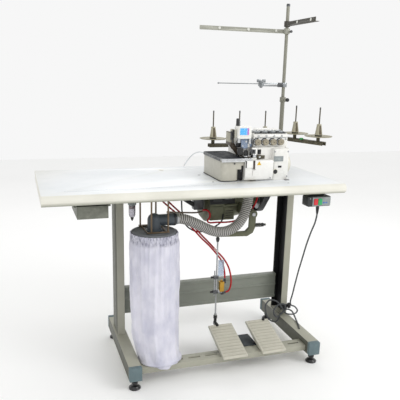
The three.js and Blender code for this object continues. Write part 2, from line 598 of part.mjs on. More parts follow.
// A channel bar on a collar, from the pole to `end`, with a spool pin at each place.
function buildLowerArm(name, level, end, pins) {
  const dx = end[0] - STAND.x;
  const dy = end[1] - STAND.y;
  const length = Math.hypot(dx, dy);
  const section = [[-13, level.low], [-10, level.low], [-10, level.high - 3], [10, level.high - 3],
    [10, level.low], [13, level.low], [13, level.high], [-13, level.high]];
  const bar = prism('x', section, 15, length).rotateZ(Math.atan2(dy, dx)).translate(STAND.x, STAND.y, 0);
  let arm = join(bar, collar(level.low, level.high + 8));
  for (const [x, y] of pins) {
    const top = level.disc + SPOOL.pinHeight + 3;
    arm = join(arm, rod('z', x, y, level.high - 2, top - level.high + 2, 3, 10),
      rod('z', x, y, level.high - 1, level.disc - level.high + 1 - GAP, 8, 14));
  }
  add(name, arm, paint(0x4a4636, 0.5, 0.3));
}

// A dished disc with a ribbed cone above it, slipped over a pin.
function buildSpoolSeat(index, [x, y], disc) {
  const bore = 3.3;
  const profile = [[bore, disc], [20, disc], [SPOOL.radius - 2, disc + 2], [SPOOL.radius, disc + 4],
    [SPOOL.radius - 3, disc + 4.5], [20, disc + 3], [7, disc + 3], [7, disc + 9], [17, disc + 9],
    [10, disc + 9 + SPOOL.coneHeight], [bore, disc + 9 + SPOOL.coneHeight], [bore, disc]];
  const seat = turned(x, y, profile, 20);
  const flutes = [0, 1, 2].map((i) => {
    const flute = box(8, -3.5, disc + 14, 22, 3.5, disc + 40);
    return flute.rotateZ(2 * Math.PI * i / 3 - 0.4).translate(x, y, 0);
  });
  add(`spool_seat_${index}`, cut(seat, ...flutes), paint(0x8f8a72, 0.5, 0));
}

// An angle-section arm on a split clamp, with an eyelet hole over each spool.
function buildTopArm(name, z, end, holes) {
  const dx = end[0] - STAND.x;
  const dy = end[1] - STAND.y;
  const length = Math.hypot(dx, dy);
  const section = [[-9, z], [9, z], [9, z + 2], [-7, z + 2], [-7, z + 18], [-9, z + 18]];
  const eyes = holes.map((along) => rod('y', along * length, -12, z + 10, 8, 4, 12));
  const bar = cut(prism('x', section, 9, length), ...eyes);
  bar.rotateZ(Math.atan2(dy, dx)).translate(STAND.x, STAND.y, 0);
  const ring = cut(rod('z', STAND.x, STAND.y, z - 2, 24, 14, 20),
    rod('z', STAND.x, STAND.y, z - 3, 26, 8, 20));
  const screw = rod('y', STAND.x + 10, STAND.y - 20, z + 8, 14, 4, 10);
  const pole = rod('z', STAND.x, STAND.y, z - 30, 80, 8, 20);
  add(name, join(cut(join(bar, screw), pole), ring), paint(0x8a897c, 0.5, 0.3));
}

function buildGuideArm() {
  const z = 1178;
  const { x, y } = STAND;
  const ring = cut(rod('z', x, y, z - 8, 20, 15, 20), rod('z', x, y, z - 9, 22, 8, 20));
  const upperStrut = box(408, y - 19, z + 4, x - 6, y - 15, z + 10);
  const lowerStrut = box(408, y + 15, z - 6, x - 6, y + 19, z);
  const web = box(x - 16, y - 19, z - 6, x - 10, y + 19, z + 10);
  const hub = rod('z', 411, y, z - 10, 24, 8, 14);
  const bridge = box(405, y - 19, z - 6, 417, y + 19, z + 10);
  const thin = rod('x', 203, y, z + 5, 204, 2, 8);
  const wing = box(398, y - 2, z + 12, 424, y + 2, z + 20);
  const pole = rod('z', x, y, z - 30, 60, 8, 20);
  const arm = cut(join(upperStrut, lowerStrut, web, hub, bridge, thin, wing), pole);
  add('guide_arm', join(arm, ring), paint(0x9a9c9c, 0.4, 0.7));
}

function buildPoles() {
  const { x, y, radius, jointZ, top } = STAND;
  const low = TABLE.top + GAP;
  const lower = [[8, low], [28, low], [28, low + 5], [16, low + 9], [16, low + 26], [radius - 1, low + 28],
    [radius - 1, jointZ - 22], [radius + 3, jointZ - 22], [radius + 3, jointZ], [8, jointZ], [8, low]];
  const clampScrew = join(rod('y', x, y - 30, jointZ - 11, 20, 3.5, 10),
    rod('y', x, y - 44, jointZ - 11, 15, 8, 14));
  const cutBack = rod('z', x, y, jointZ - 40, 60, 9.5, 20);
  add('lower_pole', join(turned(x, y, lower, 20), cut(clampScrew, cutBack)), paint(0x8a897c, 0.45, 0.3));
  add('upper_pole', turned(x, y, [[0, 1010], [7.7, 1010], [7.7, top - 2], [6, top], [0, top]], 20),
    paint(0x8a897c, 0.45, 0.3));
}

// ---- cords, hose and air tubes ----
const HOSE_ROUTE = [[-86 + GAP, -142, 662], [-66, -142, 661], [-42, -141, 655], [-14, -140, 643],
  [14, -138, 629], [44, -136, 613], [74, -134, 599], [104, -132, 592], [134, -130, 592],
  [162, -128, 600], [188, -126, 616], [208, -122, 638], [222, -118, 664], [232, -114, 694],
  [237, -112.5, 726], [238, -112, 759]];
const TUBE_A_ROUTE = [[-67, 190, 758], [-70, 180, 722], [-72, 150, 700], [-66, 100, 680], [-46, 60, 655],
  [-8, 20, 618], [30, 0, 578], [68, -12, 534], [104, -20, 498], [133, -24, 464], [157, -28, 432],
  [168, -33, 402], [172, -39, 376], [173, -42, 351]];
const TUBE_B_ROUTE = [[-53, 190, 758], [-53, 180, 722], [-50, 152, 700], [-42, 100, 686], [-22, 60, 664],
  [12, 22, 624], [46, 8, 584], [82, 0, 540], [116, -8, 500], [145, -14, 466], [172, -20, 434],
  [194, -26, 396], [205, -32, 352], [204, -38, 312], [192, -42, 288], [172, -42, 282.5]];
const CABLE_ROUTE = [[509, -212, 691.5], [509, -212, 664], [508, -204, 628], [507, -180, 580],
  [508, -150, 520], [513, -112, 440], [521, -70, 360], [533, -26, 280], [546, 14, 208], [551, 50, 152],
  [550, 84, 124], [546, 120, 112], [540, 158, 106], [516, 172, 104], [490, 158, 103.6], [482, 100, 103.4],
  [488, 40, 103.4], [514, 16, 103.4], [546, 20, 103.2], [566, 60, 101], [568, 120, 101], [556, 172, 102.4],
  [516, 190, 103.4], [480, 172, 103], [468, 100, 101.5], [474, 30, 102.6], [500, 0, 103.4],
  [520, -40, 103.4], [528, -90, 103.4], [522, -128, 103.4]];
const TUBE_C_ROUTE = [[140, 98.8, 862], [140, 112, 864], [132, 140, 876], [116, 176, 880], [98, 214, 866],
  [84, 250, 836], [76, 284, 803], [72, 297, 774], [70, 294, 748], [66, 270, 734], [60, 240, 732],
  [54, 215, 738], [50, 200, 748], [48, 195, 757]];

function buildCords() {
  add('dust_hose', tube(HOSE_ROUTE, HOSE.diameter, 12, 24), paint(0x8c8a88, 0.6, 0));
  add('air_tube_a', tube(TUBE_A_ROUTE, 6, 8, 30), paint(RED, 0.4, 0));
  add('air_tube_b', tube(TUBE_B_ROUTE, 6, 8, 34), paint(RED, 0.4, 0));
  add('white_air_tube', tube(TUBE_C_ROUTE, 5, 8, 26), paint(0xdfe2e4, 0.4, 0));
  add('power_cable', tube(CABLE_ROUTE, 7, 8, 72), paint(0x55585a, 0.6, 0));
}

// ---- assembly ----
buildTable();
for (const side of ['left', 'right']) {
  buildLeg(side);
  buildCapsAndFeet(side);
  buildPedal(side);
}
buildCrossbar();
buildPedalBar();
buildDrawer();
buildSwitch();
buildMotor();
buildClutchLever();
buildMotorPulley();
buildBelt();
buildBeltGuard();
buildTreadleRod();
buildHanger();
buildLidAndElbow();
buildDustBag();
buildAirFilter();
buildBed();
buildBody();
buildLooperCover();
buildHandwheel();
buildTensionKnobs();
buildNeedleBar();
buildPresser();
buildHeadCover();
buildPoles();
buildLowerArm('lower_arm_left', LOW_LEFT, [165, 200], PIN_LEFT);
buildLowerArm('lower_arm_right', LOW_RIGHT, [613, -50], PIN_RIGHT);
PIN_LEFT.forEach((place, i) => buildSpoolSeat(i + 1, place, LOW_LEFT.disc));
PIN_RIGHT.forEach((place, i) => buildSpoolSeat(i + 4, place, LOW_RIGHT.disc));
buildTopArm('top_arm_left', 1406, [112, 200], [0.12, 0.45, 0.78]);
buildTopArm('top_arm_right', 1437, [520, -78], [0.42, 0.86]);
buildGuideArm();
buildCords();

// The outermost spool disc reaches past the right end of the table, so the box's middle is off centre.
const BOX_MIDDLE_X = 31;
layout.position.set(-BOX_MIDDLE_X, 0, 0);
const machine = new THREE.Group();
machine.add(layout);
machine.updateMatrixWorld(true);

export default machine;
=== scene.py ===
"""Looks for the serger on its table stand. Lengths in the tables below are millimetres measured
from the middle of the table at floor level, as in part.mjs; place() turns them into the row frame."""
import math

import bmesh
import bpy
from mathutils import Matrix, Vector, noise


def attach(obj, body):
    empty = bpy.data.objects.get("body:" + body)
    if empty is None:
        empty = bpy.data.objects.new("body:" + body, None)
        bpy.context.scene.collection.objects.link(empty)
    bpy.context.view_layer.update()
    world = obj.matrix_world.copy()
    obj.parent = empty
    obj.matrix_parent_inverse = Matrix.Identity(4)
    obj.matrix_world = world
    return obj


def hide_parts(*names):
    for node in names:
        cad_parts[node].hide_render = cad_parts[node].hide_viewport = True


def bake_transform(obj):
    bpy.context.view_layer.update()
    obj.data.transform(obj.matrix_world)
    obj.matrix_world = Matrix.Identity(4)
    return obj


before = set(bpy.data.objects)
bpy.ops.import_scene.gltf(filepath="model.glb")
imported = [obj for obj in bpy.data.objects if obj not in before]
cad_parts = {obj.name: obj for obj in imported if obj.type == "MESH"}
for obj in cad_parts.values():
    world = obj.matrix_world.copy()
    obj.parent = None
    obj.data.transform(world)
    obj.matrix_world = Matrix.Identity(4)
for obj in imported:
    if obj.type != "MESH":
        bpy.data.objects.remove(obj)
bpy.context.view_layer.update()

BOX_MIDDLE_X = 31.0


def place(x, y, z):
    return Vector(((x - BOX_MIDDLE_X) / 1000, y / 1000, z / 1000))


def places(points):
    return [place(*p) for p in points]


# ---- camera ----
def make_camera():
    azimuth, elevation, roll = math.radians(18.62), math.radians(14.68), math.radians(1.4)
    forward = Vector((math.sin(azimuth) * math.cos(elevation),
                      math.cos(azimuth) * math.cos(elevation), -math.sin(elevation)))
    level = Vector((math.cos(azimuth), -math.sin(azimuth), 0))
    upward = level.cross(forward)
    right = level * math.cos(roll) + upward * math.sin(roll)
    up = upward * math.cos(roll) - level * math.sin(roll)
    data = bpy.data.cameras.new("camera")
    data.lens, data.sensor_width, data.shift_y = 49.58, 36, 0.05
    camera = bpy.data.objects.new("camera", data)
    bpy.context.scene.collection.objects.link(camera)
    turn = Matrix((right, up, -forward)).transposed()
    camera.matrix_world = Matrix.Translation((-0.6994, -2.1764, 1.2126)) @ turn.to_4x4()
    bpy.context.scene.camera = camera


# ---- materials ----
class Nodes:
    """Short names for building one node material."""

    def __init__(self, name):
        self.material = bpy.data.materials.new(name)
        self.material.use_nodes = True
        self.tree = self.material.node_tree
        self.shader = self.tree.nodes["Principled BSDF"]
        coordinates = self.tree.nodes.new("ShaderNodeTexCoord")
        self.place = coordinates.outputs["Object"]

    def link(self, source, target):
        self.tree.links.new(source, target)

    def set(self, **values):
        """Plain shader values, with _ for a space in the socket's name."""
        for name, value in values.items():
            self.shader.inputs[name.replace("_", " ")].default_value = value

    def geometry(self, output):
        return self.tree.nodes.new("ShaderNodeNewGeometry").outputs[output]

    def axes(self, vector):
        node = self.tree.nodes.new("ShaderNodeSeparateXYZ")
        self.link(vector, node.inputs[0])
        return node.outputs

    def colour(self, value):
        self.link(value, self.shader.inputs["Base Color"])

    def gloss(self, scale, low, high, detail=4):
        """Roughness that drifts between two values."""
        drift = self.span(self.noise(scale, detail), 0.3, 0.7, low, high)
        self.link(drift, self.shader.inputs["Roughness"])

    def grain(self, scale, depth):
        """A fine relief, with its depth in metres."""
        self.link(self.bump(self.noise(scale, 2), depth), self.shader.inputs["Normal"])

    def stretched(self, scale):
        mapping = self.tree.nodes.new("ShaderNodeMapping")
        mapping.inputs["Scale"].default_value = scale
        self.link(self.place, mapping.inputs["Vector"])
        return mapping.outputs["Vector"]

    def noise(self, scale, detail=3.0, vector=None):
        node = self.tree.nodes.new("ShaderNodeTexNoise")
        node.inputs["Scale"].default_value = scale
        node.inputs["Detail"].default_value = detail
        self.link(vector or self.place, node.inputs["Vector"])
        return node.outputs["Fac"]

    def wave(self, scale, axis):
        node = self.tree.nodes.new("ShaderNodeTexWave")
        node.bands_direction = axis
        node.inputs["Scale"].default_value = scale
        self.link(self.place, node.inputs["Vector"])
        return node.outputs["Fac"]

    def span(self, value, low, high, to_low=0.0, to_high=1.0):
        node = self.tree.nodes.new("ShaderNodeMapRange")
        for key, number in (("From Min", low), ("From Max", high), ("To Min", to_low), ("To Max", to_high)):
            node.inputs[key].default_value = number
        self.link(value, node.inputs["Value"])
        return node.outputs["Result"]

    def mix(self, share, first, second):
        node = self.tree.nodes.new("ShaderNodeMix")
        node.data_type = "RGBA"
        for socket, value in ((node.inputs[6], first), (node.inputs[7], second)):
            if isinstance(value, tuple):
                socket.default_value = (*value, 1)
            else:
                self.link(value, socket)
        self.link(share, node.inputs[0])
        return node.outputs[2]

    def maths(self, operation, first, second):
        node = self.tree.nodes.new("ShaderNodeMath")
        node.operation = operation
        for socket, value in ((node.inputs[0], first), (node.inputs[1], second)):
            if isinstance(value, (int, float)):
                socket.default_value = value
            else:
                self.link(value, socket)
        return node.outputs[0]

    def bump(self, height, distance, strength=1.0, under=None):
        node = self.tree.nodes.new("ShaderNodeBump")
        node.inputs["Strength"].default_value = strength
        node.inputs["Distance"].default_value = distance
        self.link(height, node.inputs["Height"])
        if under is not None:
            self.link(under, node.inputs["Normal"])
        return node.outputs["Normal"]


def linear(code):
    """A colour such as 'b5b2a4' in the shader's linear values."""
    parts = [int(code[i:i + 2], 16) / 255 for i in (0, 2, 4)]
    return tuple(p / 12.92 if p <= 0.04045 else ((p + 0.055) / 1.055) ** 2.4 for p in parts)


def scaled(colour, factor):
    return tuple(min(1.0, c * factor) for c in colour)


def finish(name, code, rough, metal, grain, depth, mottle, patch, worn=None, wear=0.0, coat=0.0,
           specular=0.5):
    """Paint, plastic or metal: a mottled colour, a fine grain (depth in micrometres), uneven gloss and
    rubbed edges."""
    n = Nodes(name)
    base = linear(code)
    colour = n.mix(n.span(n.noise(patch, 5), 0.3, 0.7), scaled(base, 1 - mottle), scaled(base, 1 + mottle))
    if wear:
        edge = n.span(n.geometry("Pointiness"), 0.52, 0.62)
        share = n.maths("MULTIPLY", edge, n.span(n.noise(60, 4), 0.45, 0.7, 0.0, wear))
        colour = n.mix(share, colour, linear(worn))
    n.colour(colour)
    n.gloss(patch * 7, rough * 0.85, min(1, rough * 1.15))
    n.grain(grain, depth / 1e6)
    n.set(Metallic=metal, Coat_Weight=coat, Coat_Roughness=0.12, Specular_IOR_Level=specular)
    return n.material


def laminate():
    """Pale blue-white laminate on top, an ivory moulding round the edge and a raw underside, whose darker
    colour also paints shade on the lower half of the rounded front edge.
    """
    n = Nodes("laminate")
    height = n.axes(n.geometry("Normal"))["Z"]
    flecks = n.span(n.noise(420, 2), 0.42, 0.62)
    clouds = n.span(n.noise(5, 4), 0.35, 0.65)
    top = n.mix(clouds, linear("e3e7e9"), linear("eef0f1"))
    top = n.mix(n.maths("MULTIPLY", flecks, 0.25), top, linear("dde2e6"))
    edge = n.mix(clouds, linear("dedcd0"), linear("ebe9de"))
    side = n.mix(n.span(height, 0.93, 0.985), edge, top)
    # Faces turned downward take a darker colour: the raw underside, and painted shade on the lower half of
    # the rounded front edge.
    n.colour(n.mix(n.span(height, -0.75, -0.2, 1.0, 0.0), side, linear("a5a697")))
    n.gloss(30, 0.3, 0.42)
    n.grain(1400, 0.00004)
    return n.material


def stand_paint(name, code, shade):
    """Satin stand enamel, with painted shade on the faces turned to the table's left."""
    n = Nodes(name)
    # Painted shade: faces turned towards -x take the dark shade colour.
    painted_shade_side = n.span(n.axes(n.geometry("Normal"))["X"], -0.9, -0.5, 1.0, 0.0)
    plain_enamel = n.mix(n.span(n.noise(9, 5), 0.3, 0.7), linear(code), scaled(linear(code), 0.9))
    n.colour(n.mix(painted_shade_side, plain_enamel, linear(shade)))
    n.gloss(50, 0.42, 0.56)
    n.grain(700, 0.00012)
    return n.material


def plate_finish(name):
    """A dark, slightly blue enamelled top with rubbed patches and bright machined edges."""
    n = Nodes(name)
    flat = n.span(n.axes(n.geometry("Normal"))["Z"], 0.9, 0.98)
    top = n.mix(n.span(n.noise(22, 5), 0.4, 0.7), linear("1f2227"), linear("34373d"))
    n.colour(n.mix(flat, linear("c6c7c4"), top))
    n.gloss(60, 0.5, 0.66)
    n.set(Specular_IOR_Level=0.12)
    n.link(n.span(flat, 0.0, 1.0, 0.85, 0.0), n.shader.inputs["Metallic"])
    n.grain(1300, 0.00005)
    return n.material


def woven(name, code, shade):
    """Thin woven nylon: a fine plain weave, a soft sheen, cloudy shading and gathers at the hem, with painted
    shade in the gathers.
    """
    n = Nodes(name)
    weave = n.maths("MULTIPLY", n.wave(900, "X"), n.wave(900, "Z"))
    clouds = n.span(n.noise(17, 6, n.stretched((1, 1, 0.6))), 0.38, 0.66)
    hem = n.span(n.axes(n.place)["Z"], 0.576, 0.586)
    ruffle = n.noise(150, 3, n.stretched((1, 1, 0.4)))
    cloth = n.mix(clouds, linear(code), linear(shade))
    # Painted shade: the hem's gathers take a darker colour in a ruffle pattern.
    painted_gather_shade = n.maths("MULTIPLY", hem, n.span(ruffle, 0.46, 0.62))
    n.colour(n.mix(painted_gather_shade, cloth, linear("9c9cad")))
    n.gloss(40, 0.6, 0.8, 3)
    folds = n.bump(n.noise(16, 6, n.stretched((1, 1, 0.55))), 0.012, 0.75)
    creases = n.bump(n.noise(62, 6, n.stretched((1, 1, 0.8))), 0.003, 0.7, folds)
    gathers = n.bump(n.maths("MULTIPLY", hem, ruffle), 0.012, 0.8, creases)
    n.link(n.bump(weave, 0.0002, 0.5, gathers), n.shader.inputs["Normal"])
    n.set(Sheen_Weight=0.35, Sheen_Roughness=0.4)
    return n.material


def clear_plastic(name, code):
    n = Nodes(name)
    n.colour(n.mix(n.span(n.noise(25, 3), 0.3, 0.7), linear(code), scaled(linear(code), 0.85)))
    n.gloss(80, 0.08, 0.2, 3)
    n.grain(600, 0.00004)
    n.set(Transmission_Weight=0.7)
    return n.material


def screen_glow(name):
    """A small display: blue across, turning magenta at its right edge, with soft bright marks."""
    n = Nodes(name)
    left, right = place(186, 0, 0).x, place(226, 0, 0).x
    across = n.span(n.axes(n.place)["X"], left, right)
    tint = n.mix(n.span(across, 0.72, 0.98), linear("4aa3de"), linear("c0449c"))
    marks = n.span(n.noise(260, 2), 0.56, 0.66)
    tint = n.mix(n.maths("MULTIPLY", marks, 0.5), tint, linear("d9ecf6"))
    n.colour(tint)
    n.link(tint, n.shader.inputs["Emission Color"])
    n.set(Emission_Strength=0.25)
    n.gloss(90, 0.12, 0.22, 2)
    return n.material


SHEET = {}


def make_materials():
    SHEET.update(
        laminate=laminate(),
        stand=stand_paint("stand_enamel", "a8a798", "56574c"),
        bar=finish("crossbar_enamel", "85897f", 0.5, 0, 700, 120, 0.06, 7, "a9ab9f", 0.5),
        cap=finish("cap_plastic", "5e7074", 0.55, 0, 1200, 100, 0.06, 20, "8fa0a3", 0.4),
        rubber=finish("black_rubber", "1d1d1f", 0.6, 0, 1500, 100, 0.12, 30, "4a4a4c", 0.4),
        gloss_black=finish("black_plastic", "161618", 0.3, 0, 900, 30, 0.1, 30, "55555a", 0.4, coat=0.3),
        groove=finish("pedal_groove", "aaa796", 0.6, 0, 800, 100, 0.08, 20),
        pedal=finish("pedal_plastic", "c2bfb1", 0.55, 0, 800, 200, 0.05, 14, "9c998b", 0.6),
        drawer=finish("drawer_enamel", "6e7066", 0.45, 0.1, 500, 250, 0.1, 40, "9b9d92", 0.5),
        switch=finish("switch_shell", "2c2e2f", 0.5, 0, 900, 100, 0.08, 20, "6a6c6d", 0.4),
        switch_plate=finish("switch_plate", "8b9292", 0.4, 0.1, 900, 60, 0.05, 20, "c4c8c8", 0.4),
        red_button=finish("red_button", "cf1f2a", 0.3, 0, 800, 40, 0.06, 40, "e4666c", 0.4, coat=0.4),
        green_button=finish("green_button", "17a05c", 0.3, 0, 800, 40, 0.06, 40, "62c796", 0.4, coat=0.4),
        blue_mark=finish("blue_mark", "4a6fb4", 0.4, 0, 800, 30, 0.05, 40),
        motor=finish("motor_casting", "5c5e48", 0.5, 0.05, 350, 500, 0.14, 24, "85866c", 0.6),
        pulley=finish("turned_steel", "8d8f91", 0.35, 0.9, 1600, 60, 0.08, 30, "c9cbcc", 0.5),
        belt=finish("belt_rubber", "171717", 0.75, 0, 1800, 150, 0.15, 50, "3f3f3f", 0.4),
        guard=finish("guard_enamel", "242628", 0.45, 0.1, 900, 100, 0.1, 24, "606468", 0.5),
        steel=finish("plated_steel", "a9abad", 0.28, 0.95, 1400, 40, 0.1, 60, "d8dadb", 0.5),
        dark_steel=finish("dark_steel", "57585a", 0.35, 0.85, 1400, 50, 0.12, 60, "a0a2a4", 0.5),
        brass=finish("brass", "b28a3a", 0.3, 0.95, 1200, 50, 0.1, 50, "d9bb74", 0.5),
        hanger=finish("hanger_steel", "6f5f4c", 0.4, 0.55, 900, 80, 0.16, 60, "a59578", 0.5),
        lid=finish("lid_plastic", "6a6d71", 0.55, 0, 900, 100, 0.08, 24, "8f9296", 0.3),
        elbow=finish("elbow_plastic", "3f474e", 0.4, 0, 900, 80, 0.08, 18, "7d878e", 0.4),
        bag=woven("bag_nylon", "dcdbe6", "c2c2d2"),
        bowl=clear_plastic("filter_bowl", "cfccd6"),
        amber=finish("filter_core", "8a4a24", 0.45, 0, 900, 200, 0.2, 60),
        tube_red=finish("red_tube", "a80c17", 0.5, 0, 900, 30, 0.06, 40, specular=0.25),
        tube_white=finish("white_tube", "dfe3e5", 0.3, 0, 900, 30, 0.04, 40, coat=0.3),
        # Dark hose wire, and painted shade in the valleys between the ribs.
        hose_valley=finish("hose_valley", "3c3b3a", 0.6, 0, 900, 100, 0.1, 30),
        hose=finish("hose_plastic", "a5a39f", 0.5, 0, 900, 100, 0.06, 30, "c4c2be", 0.4),
        cable=finish("cable_sheath", "4b4e50", 0.6, 0, 1500, 100, 0.1, 60, "77797b", 0.3),
        bed=finish("bed_enamel", "bab7aa", 0.38, 0.05, 700, 80, 0.04, 12, "d8d5c9", 0.5, coat=0.25),
        plate_all=plate_finish("plate_enamel"),
        ivory=finish("body_enamel", "ecebe6", 0.3, 0.0, 600, 60, 0.03, 10, "c9c7be", 0.5, coat=0.5),
        cover=finish("cover_plastic", "f1f0ec", 0.25, 0, 700, 40, 0.025, 14, "cfcdc6", 0.4, coat=0.5),
        wheel=finish("wheel_enamel", "dcd9cb", 0.35, 0.05, 700, 60, 0.05, 20, "b3b0a2", 0.5, coat=0.3),
        knob=finish("knob_plastic", "958d7a", 0.4, 0.1, 900, 100, 0.1, 60, "dcd7c6", 0.5),
        chrome=finish("polished_chrome", "c9cbcd", 0.12, 1.0, 1600, 20, 0.06, 60, "eceded", 0.4),
        presser=finish("presser_steel", "b0ab9b", 0.32, 0.6, 900, 50, 0.08, 40, "dad6c8", 0.6),
        pole=finish("pole_enamel", "8c8b7f", 0.42, 0.1, 800, 80, 0.07, 18, "b8b7aa", 0.5),
        light_arm=finish("light_arm", "a3a398", 0.4, 0.2, 800, 80, 0.06, 18, "d2d2c8", 0.5),
        dark_arm=finish("dark_arm", "4a4740", 0.42, 0.2, 800, 80, 0.1, 18, "8b8776", 0.5),
        olive_arm=finish("arm_enamel", "514c3c", 0.45, 0.15, 800, 80, 0.1, 18, "8d8770", 0.6),
        arm_brown=finish("presser_arm", "453a2f", 0.4, 0.3, 800, 80, 0.12, 30, "8d8576", 0.6),
        housing=finish("presser_housing", "a5a18e", 0.4, 0.1, 800, 80, 0.1, 24, "cfccbb", 0.5),
        spool=finish("spool_plastic", "8d8870", 0.5, 0, 700, 120, 0.1, 16, "b9b49c", 0.4),
        cone=finish("cone_plastic", "aca791", 0.45, 0, 700, 100, 0.07, 30, "d0ccb8", 0.4),
        flank=finish("cone_flank", "584d38", 0.55, 0, 700, 100, 0.1, 40),
        guide=finish("guide_plating", "8e9294", 0.3, 0.85, 1200, 50, 0.1, 30, "d0d3d5", 0.5),
        screen=screen_glow("display_screen"),
        navy=finish("floor_plate", "2b3238", 0.5, 0.1, 900, 100, 0.12, 20, "5d666c", 0.5),
        yellow=finish("yellow_mark", "e0b52a", 0.4, 0, 800, 30, 0.05, 40),
        ink=finish("printed_ink", "8f9aa6", 0.5, 0, 800, 20, 0.08, 60),
        # Black parts, and painted shade: dark sheets set in holes, slots and gaps where shade falls.
        void=finish("black_parts_and_painted_shade", "0e0f12", 0.6, 0, 800, 50, 0.15, 40),
        blue_steel=finish("blued_part", "8593a8", 0.28, 0.7, 900, 60, 0.12, 40, "98a4b8", 0.5),
        pouch=clear_plastic("pouch_film", "c5d2e4"),
        tie=finish("nylon_tie", "e2e2da", 0.4, 0, 900, 50, 0.05, 60),
        slot_brown=finish("slot_brown", "3b2a24", 0.5, 0, 900, 50, 0.1, 40),
        green_bit=finish("green_bit", "2f9a4a", 0.4, 0, 900, 50, 0.1, 40),
    )


# ---- mesh building ----
def make_object(name, points, faces, material, body, sharp=35.0):
    mesh = bpy.data.meshes.new(name)
    mesh.from_pydata([tuple(p) for p in points], [], faces)
    mesh.update()
    return put(name, mesh, material, body, sharp)


def put(name, mesh, material, body, sharp):
    """Makes a mesh a piece of the scene, on its body; sharp=None leaves its faces flat."""
    piece = bpy.data.objects.new(name, mesh)
    bpy.context.scene.collection.objects.link(piece)
    mesh.materials.append(SHEET[material])
    if sharp is not None:
        smoothed(mesh, sharp)
    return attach(piece, body) if body else piece


def ring_faces(rings, sides):
    """Quads between neighbouring rings of points."""
    faces = []
    for ring in range(rings - 1):
        a, b = ring * sides, (ring + 1) * sides
        for i in range(sides):
            j = (i + 1) % sides
            faces.append((a + i, a + j, b + j, b + i))
    return faces


def caps(rings, sides):
    """One face over the first ring and one over the last."""
    return [tuple(reversed(range(sides))), tuple(range((rings - 1) * sides, rings * sides))]


def smoothed(mesh, sharp):
    """Smooth shading, with the edges that turn by more than `sharp` degrees kept crisp."""
    for polygon in mesh.polygons:
        polygon.use_smooth = True
    working = bmesh.new()
    working.from_mesh(mesh)
    bmesh.ops.recalc_face_normals(working, faces=working.faces)
    limit = math.radians(sharp)
    for edge in working.edges:
        edge.smooth = not (len(edge.link_faces) == 2 and edge.calc_face_angle(0) > limit)
    working.to_mesh(mesh)
    working.free()


def block(name, low, high, material, radius, body="frame", turn=None):
    """A box between two corners (mm) with its edges rounded, made with bmesh bevels."""
    working = bmesh.new()
    size = [(h - l) / 1000 for l, h in zip(low, high)]
    middle = place(*[(l + h) / 2 for l, h in zip(low, high)])
    bmesh.ops.create_cube(working, size=1)
    bmesh.ops.scale(working, vec=size, verts=working.verts)
    reach = min(radius / 1000, min(size) * 0.45)
    bmesh.ops.bevel(working, geom=working.edges[:], offset=reach, segments=3, profile=0.5,
                    affect="EDGES", clamp_overlap=True)
    if turn is not None:
        bmesh.ops.rotate(working, cent=(0, 0, 0), matrix=turn, verts=working.verts)
    bmesh.ops.translate(working, vec=middle, verts=working.verts)
    mesh = bpy.data.meshes.new(name)
    working.to_mesh(mesh)
    working.free()
    return put(name, mesh, material, body, 40)


def turned(name, axis, centre, profile, material, sides, body="frame", flat=None):
    """A lathe piece: profile pairs are (distance along the axis, radius) in mm from centre."""
    basis = {"x": (Vector((1, 0, 0)), Vector((0, 1, 0)), Vector((0, 0, 1))),
             "y": (Vector((0, 1, 0)), Vector((0, 0, 1)), Vector((1, 0, 0))),
             "z": (Vector((0, 0, 1)), Vector((1, 0, 0)), Vector((0, 1, 0)))}
    along, first, second = basis[axis]
    start = place(*centre)
    points = []
    for distance, radius in profile:
        for i in range(sides):
            angle = 2 * math.pi * i / sides
            reach = max(radius, 0.001) * (flat(angle, distance) if flat else 1.0)
            points.append(start + (along * distance
                                   + (first * math.cos(angle) + second * math.sin(angle)) * reach) / 1000)
    faces = ring_faces(len(profile), sides) + caps(len(profile), sides)
    return make_object(name, points, faces, material, body)


def smooth_route(points, per_span=8):
    """A centripetal curve through the points, as a list of close points."""
    ends = [points[0] * 2 - points[1], *points, points[-1] * 2 - points[-2]]
    route = []
    for i in range(1, len(ends) - 2):
        p0, p1, p2, p3 = ends[i - 1:i + 3]
        t0 = 0.0
        t1 = t0 + math.sqrt((p1 - p0).length)
        t2 = t1 + math.sqrt((p2 - p1).length)
        t3 = t2 + math.sqrt((p3 - p2).length)
        for k in range(per_span):
            t = t1 + (t2 - t1) * k / per_span
            a1 = p0 * ((t1 - t) / (t1 - t0)) + p1 * ((t - t0) / (t1 - t0))
            a2 = p1 * ((t2 - t) / (t2 - t1)) + p2 * ((t - t1) / (t2 - t1))
            a3 = p2 * ((t3 - t) / (t3 - t2)) + p3 * ((t - t2) / (t3 - t2))
            b1 = a1 * ((t2 - t) / (t2 - t0)) + a2 * ((t - t0) / (t2 - t0))
            b2 = a2 * ((t3 - t) / (t3 - t1)) + a3 * ((t - t1) / (t3 - t1))
            route.append(b1 * ((t2 - t) / (t2 - t1)) + b2 * ((t - t1) / (t2 - t1)))
    return [*route, points[-1].copy()]


def strand(name, route_mm, diameter, material, body, per_span=8):
    """A round cord or wire along a smooth route: one open spline with a round section."""
    route = smooth_route(places(route_mm), per_span)
    data = bpy.data.curves.new(name, "CURVE")
    data.dimensions = "3D"
    spline = data.splines.new("POLY")
    spline.points.add(len(route) - 1)
    for point, where in zip(spline.points, route):
        point.co = (*where, 1)
    data.bevel_depth = diameter / 2000
    data.bevel_resolution = 4
    data.use_fill_caps = True
    data.materials.append(SHEET[material])
    piece = bpy.data.objects.new(name, data)
    bpy.context.scene.collection.objects.link(piece)
    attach(piece, body)
    return piece, route


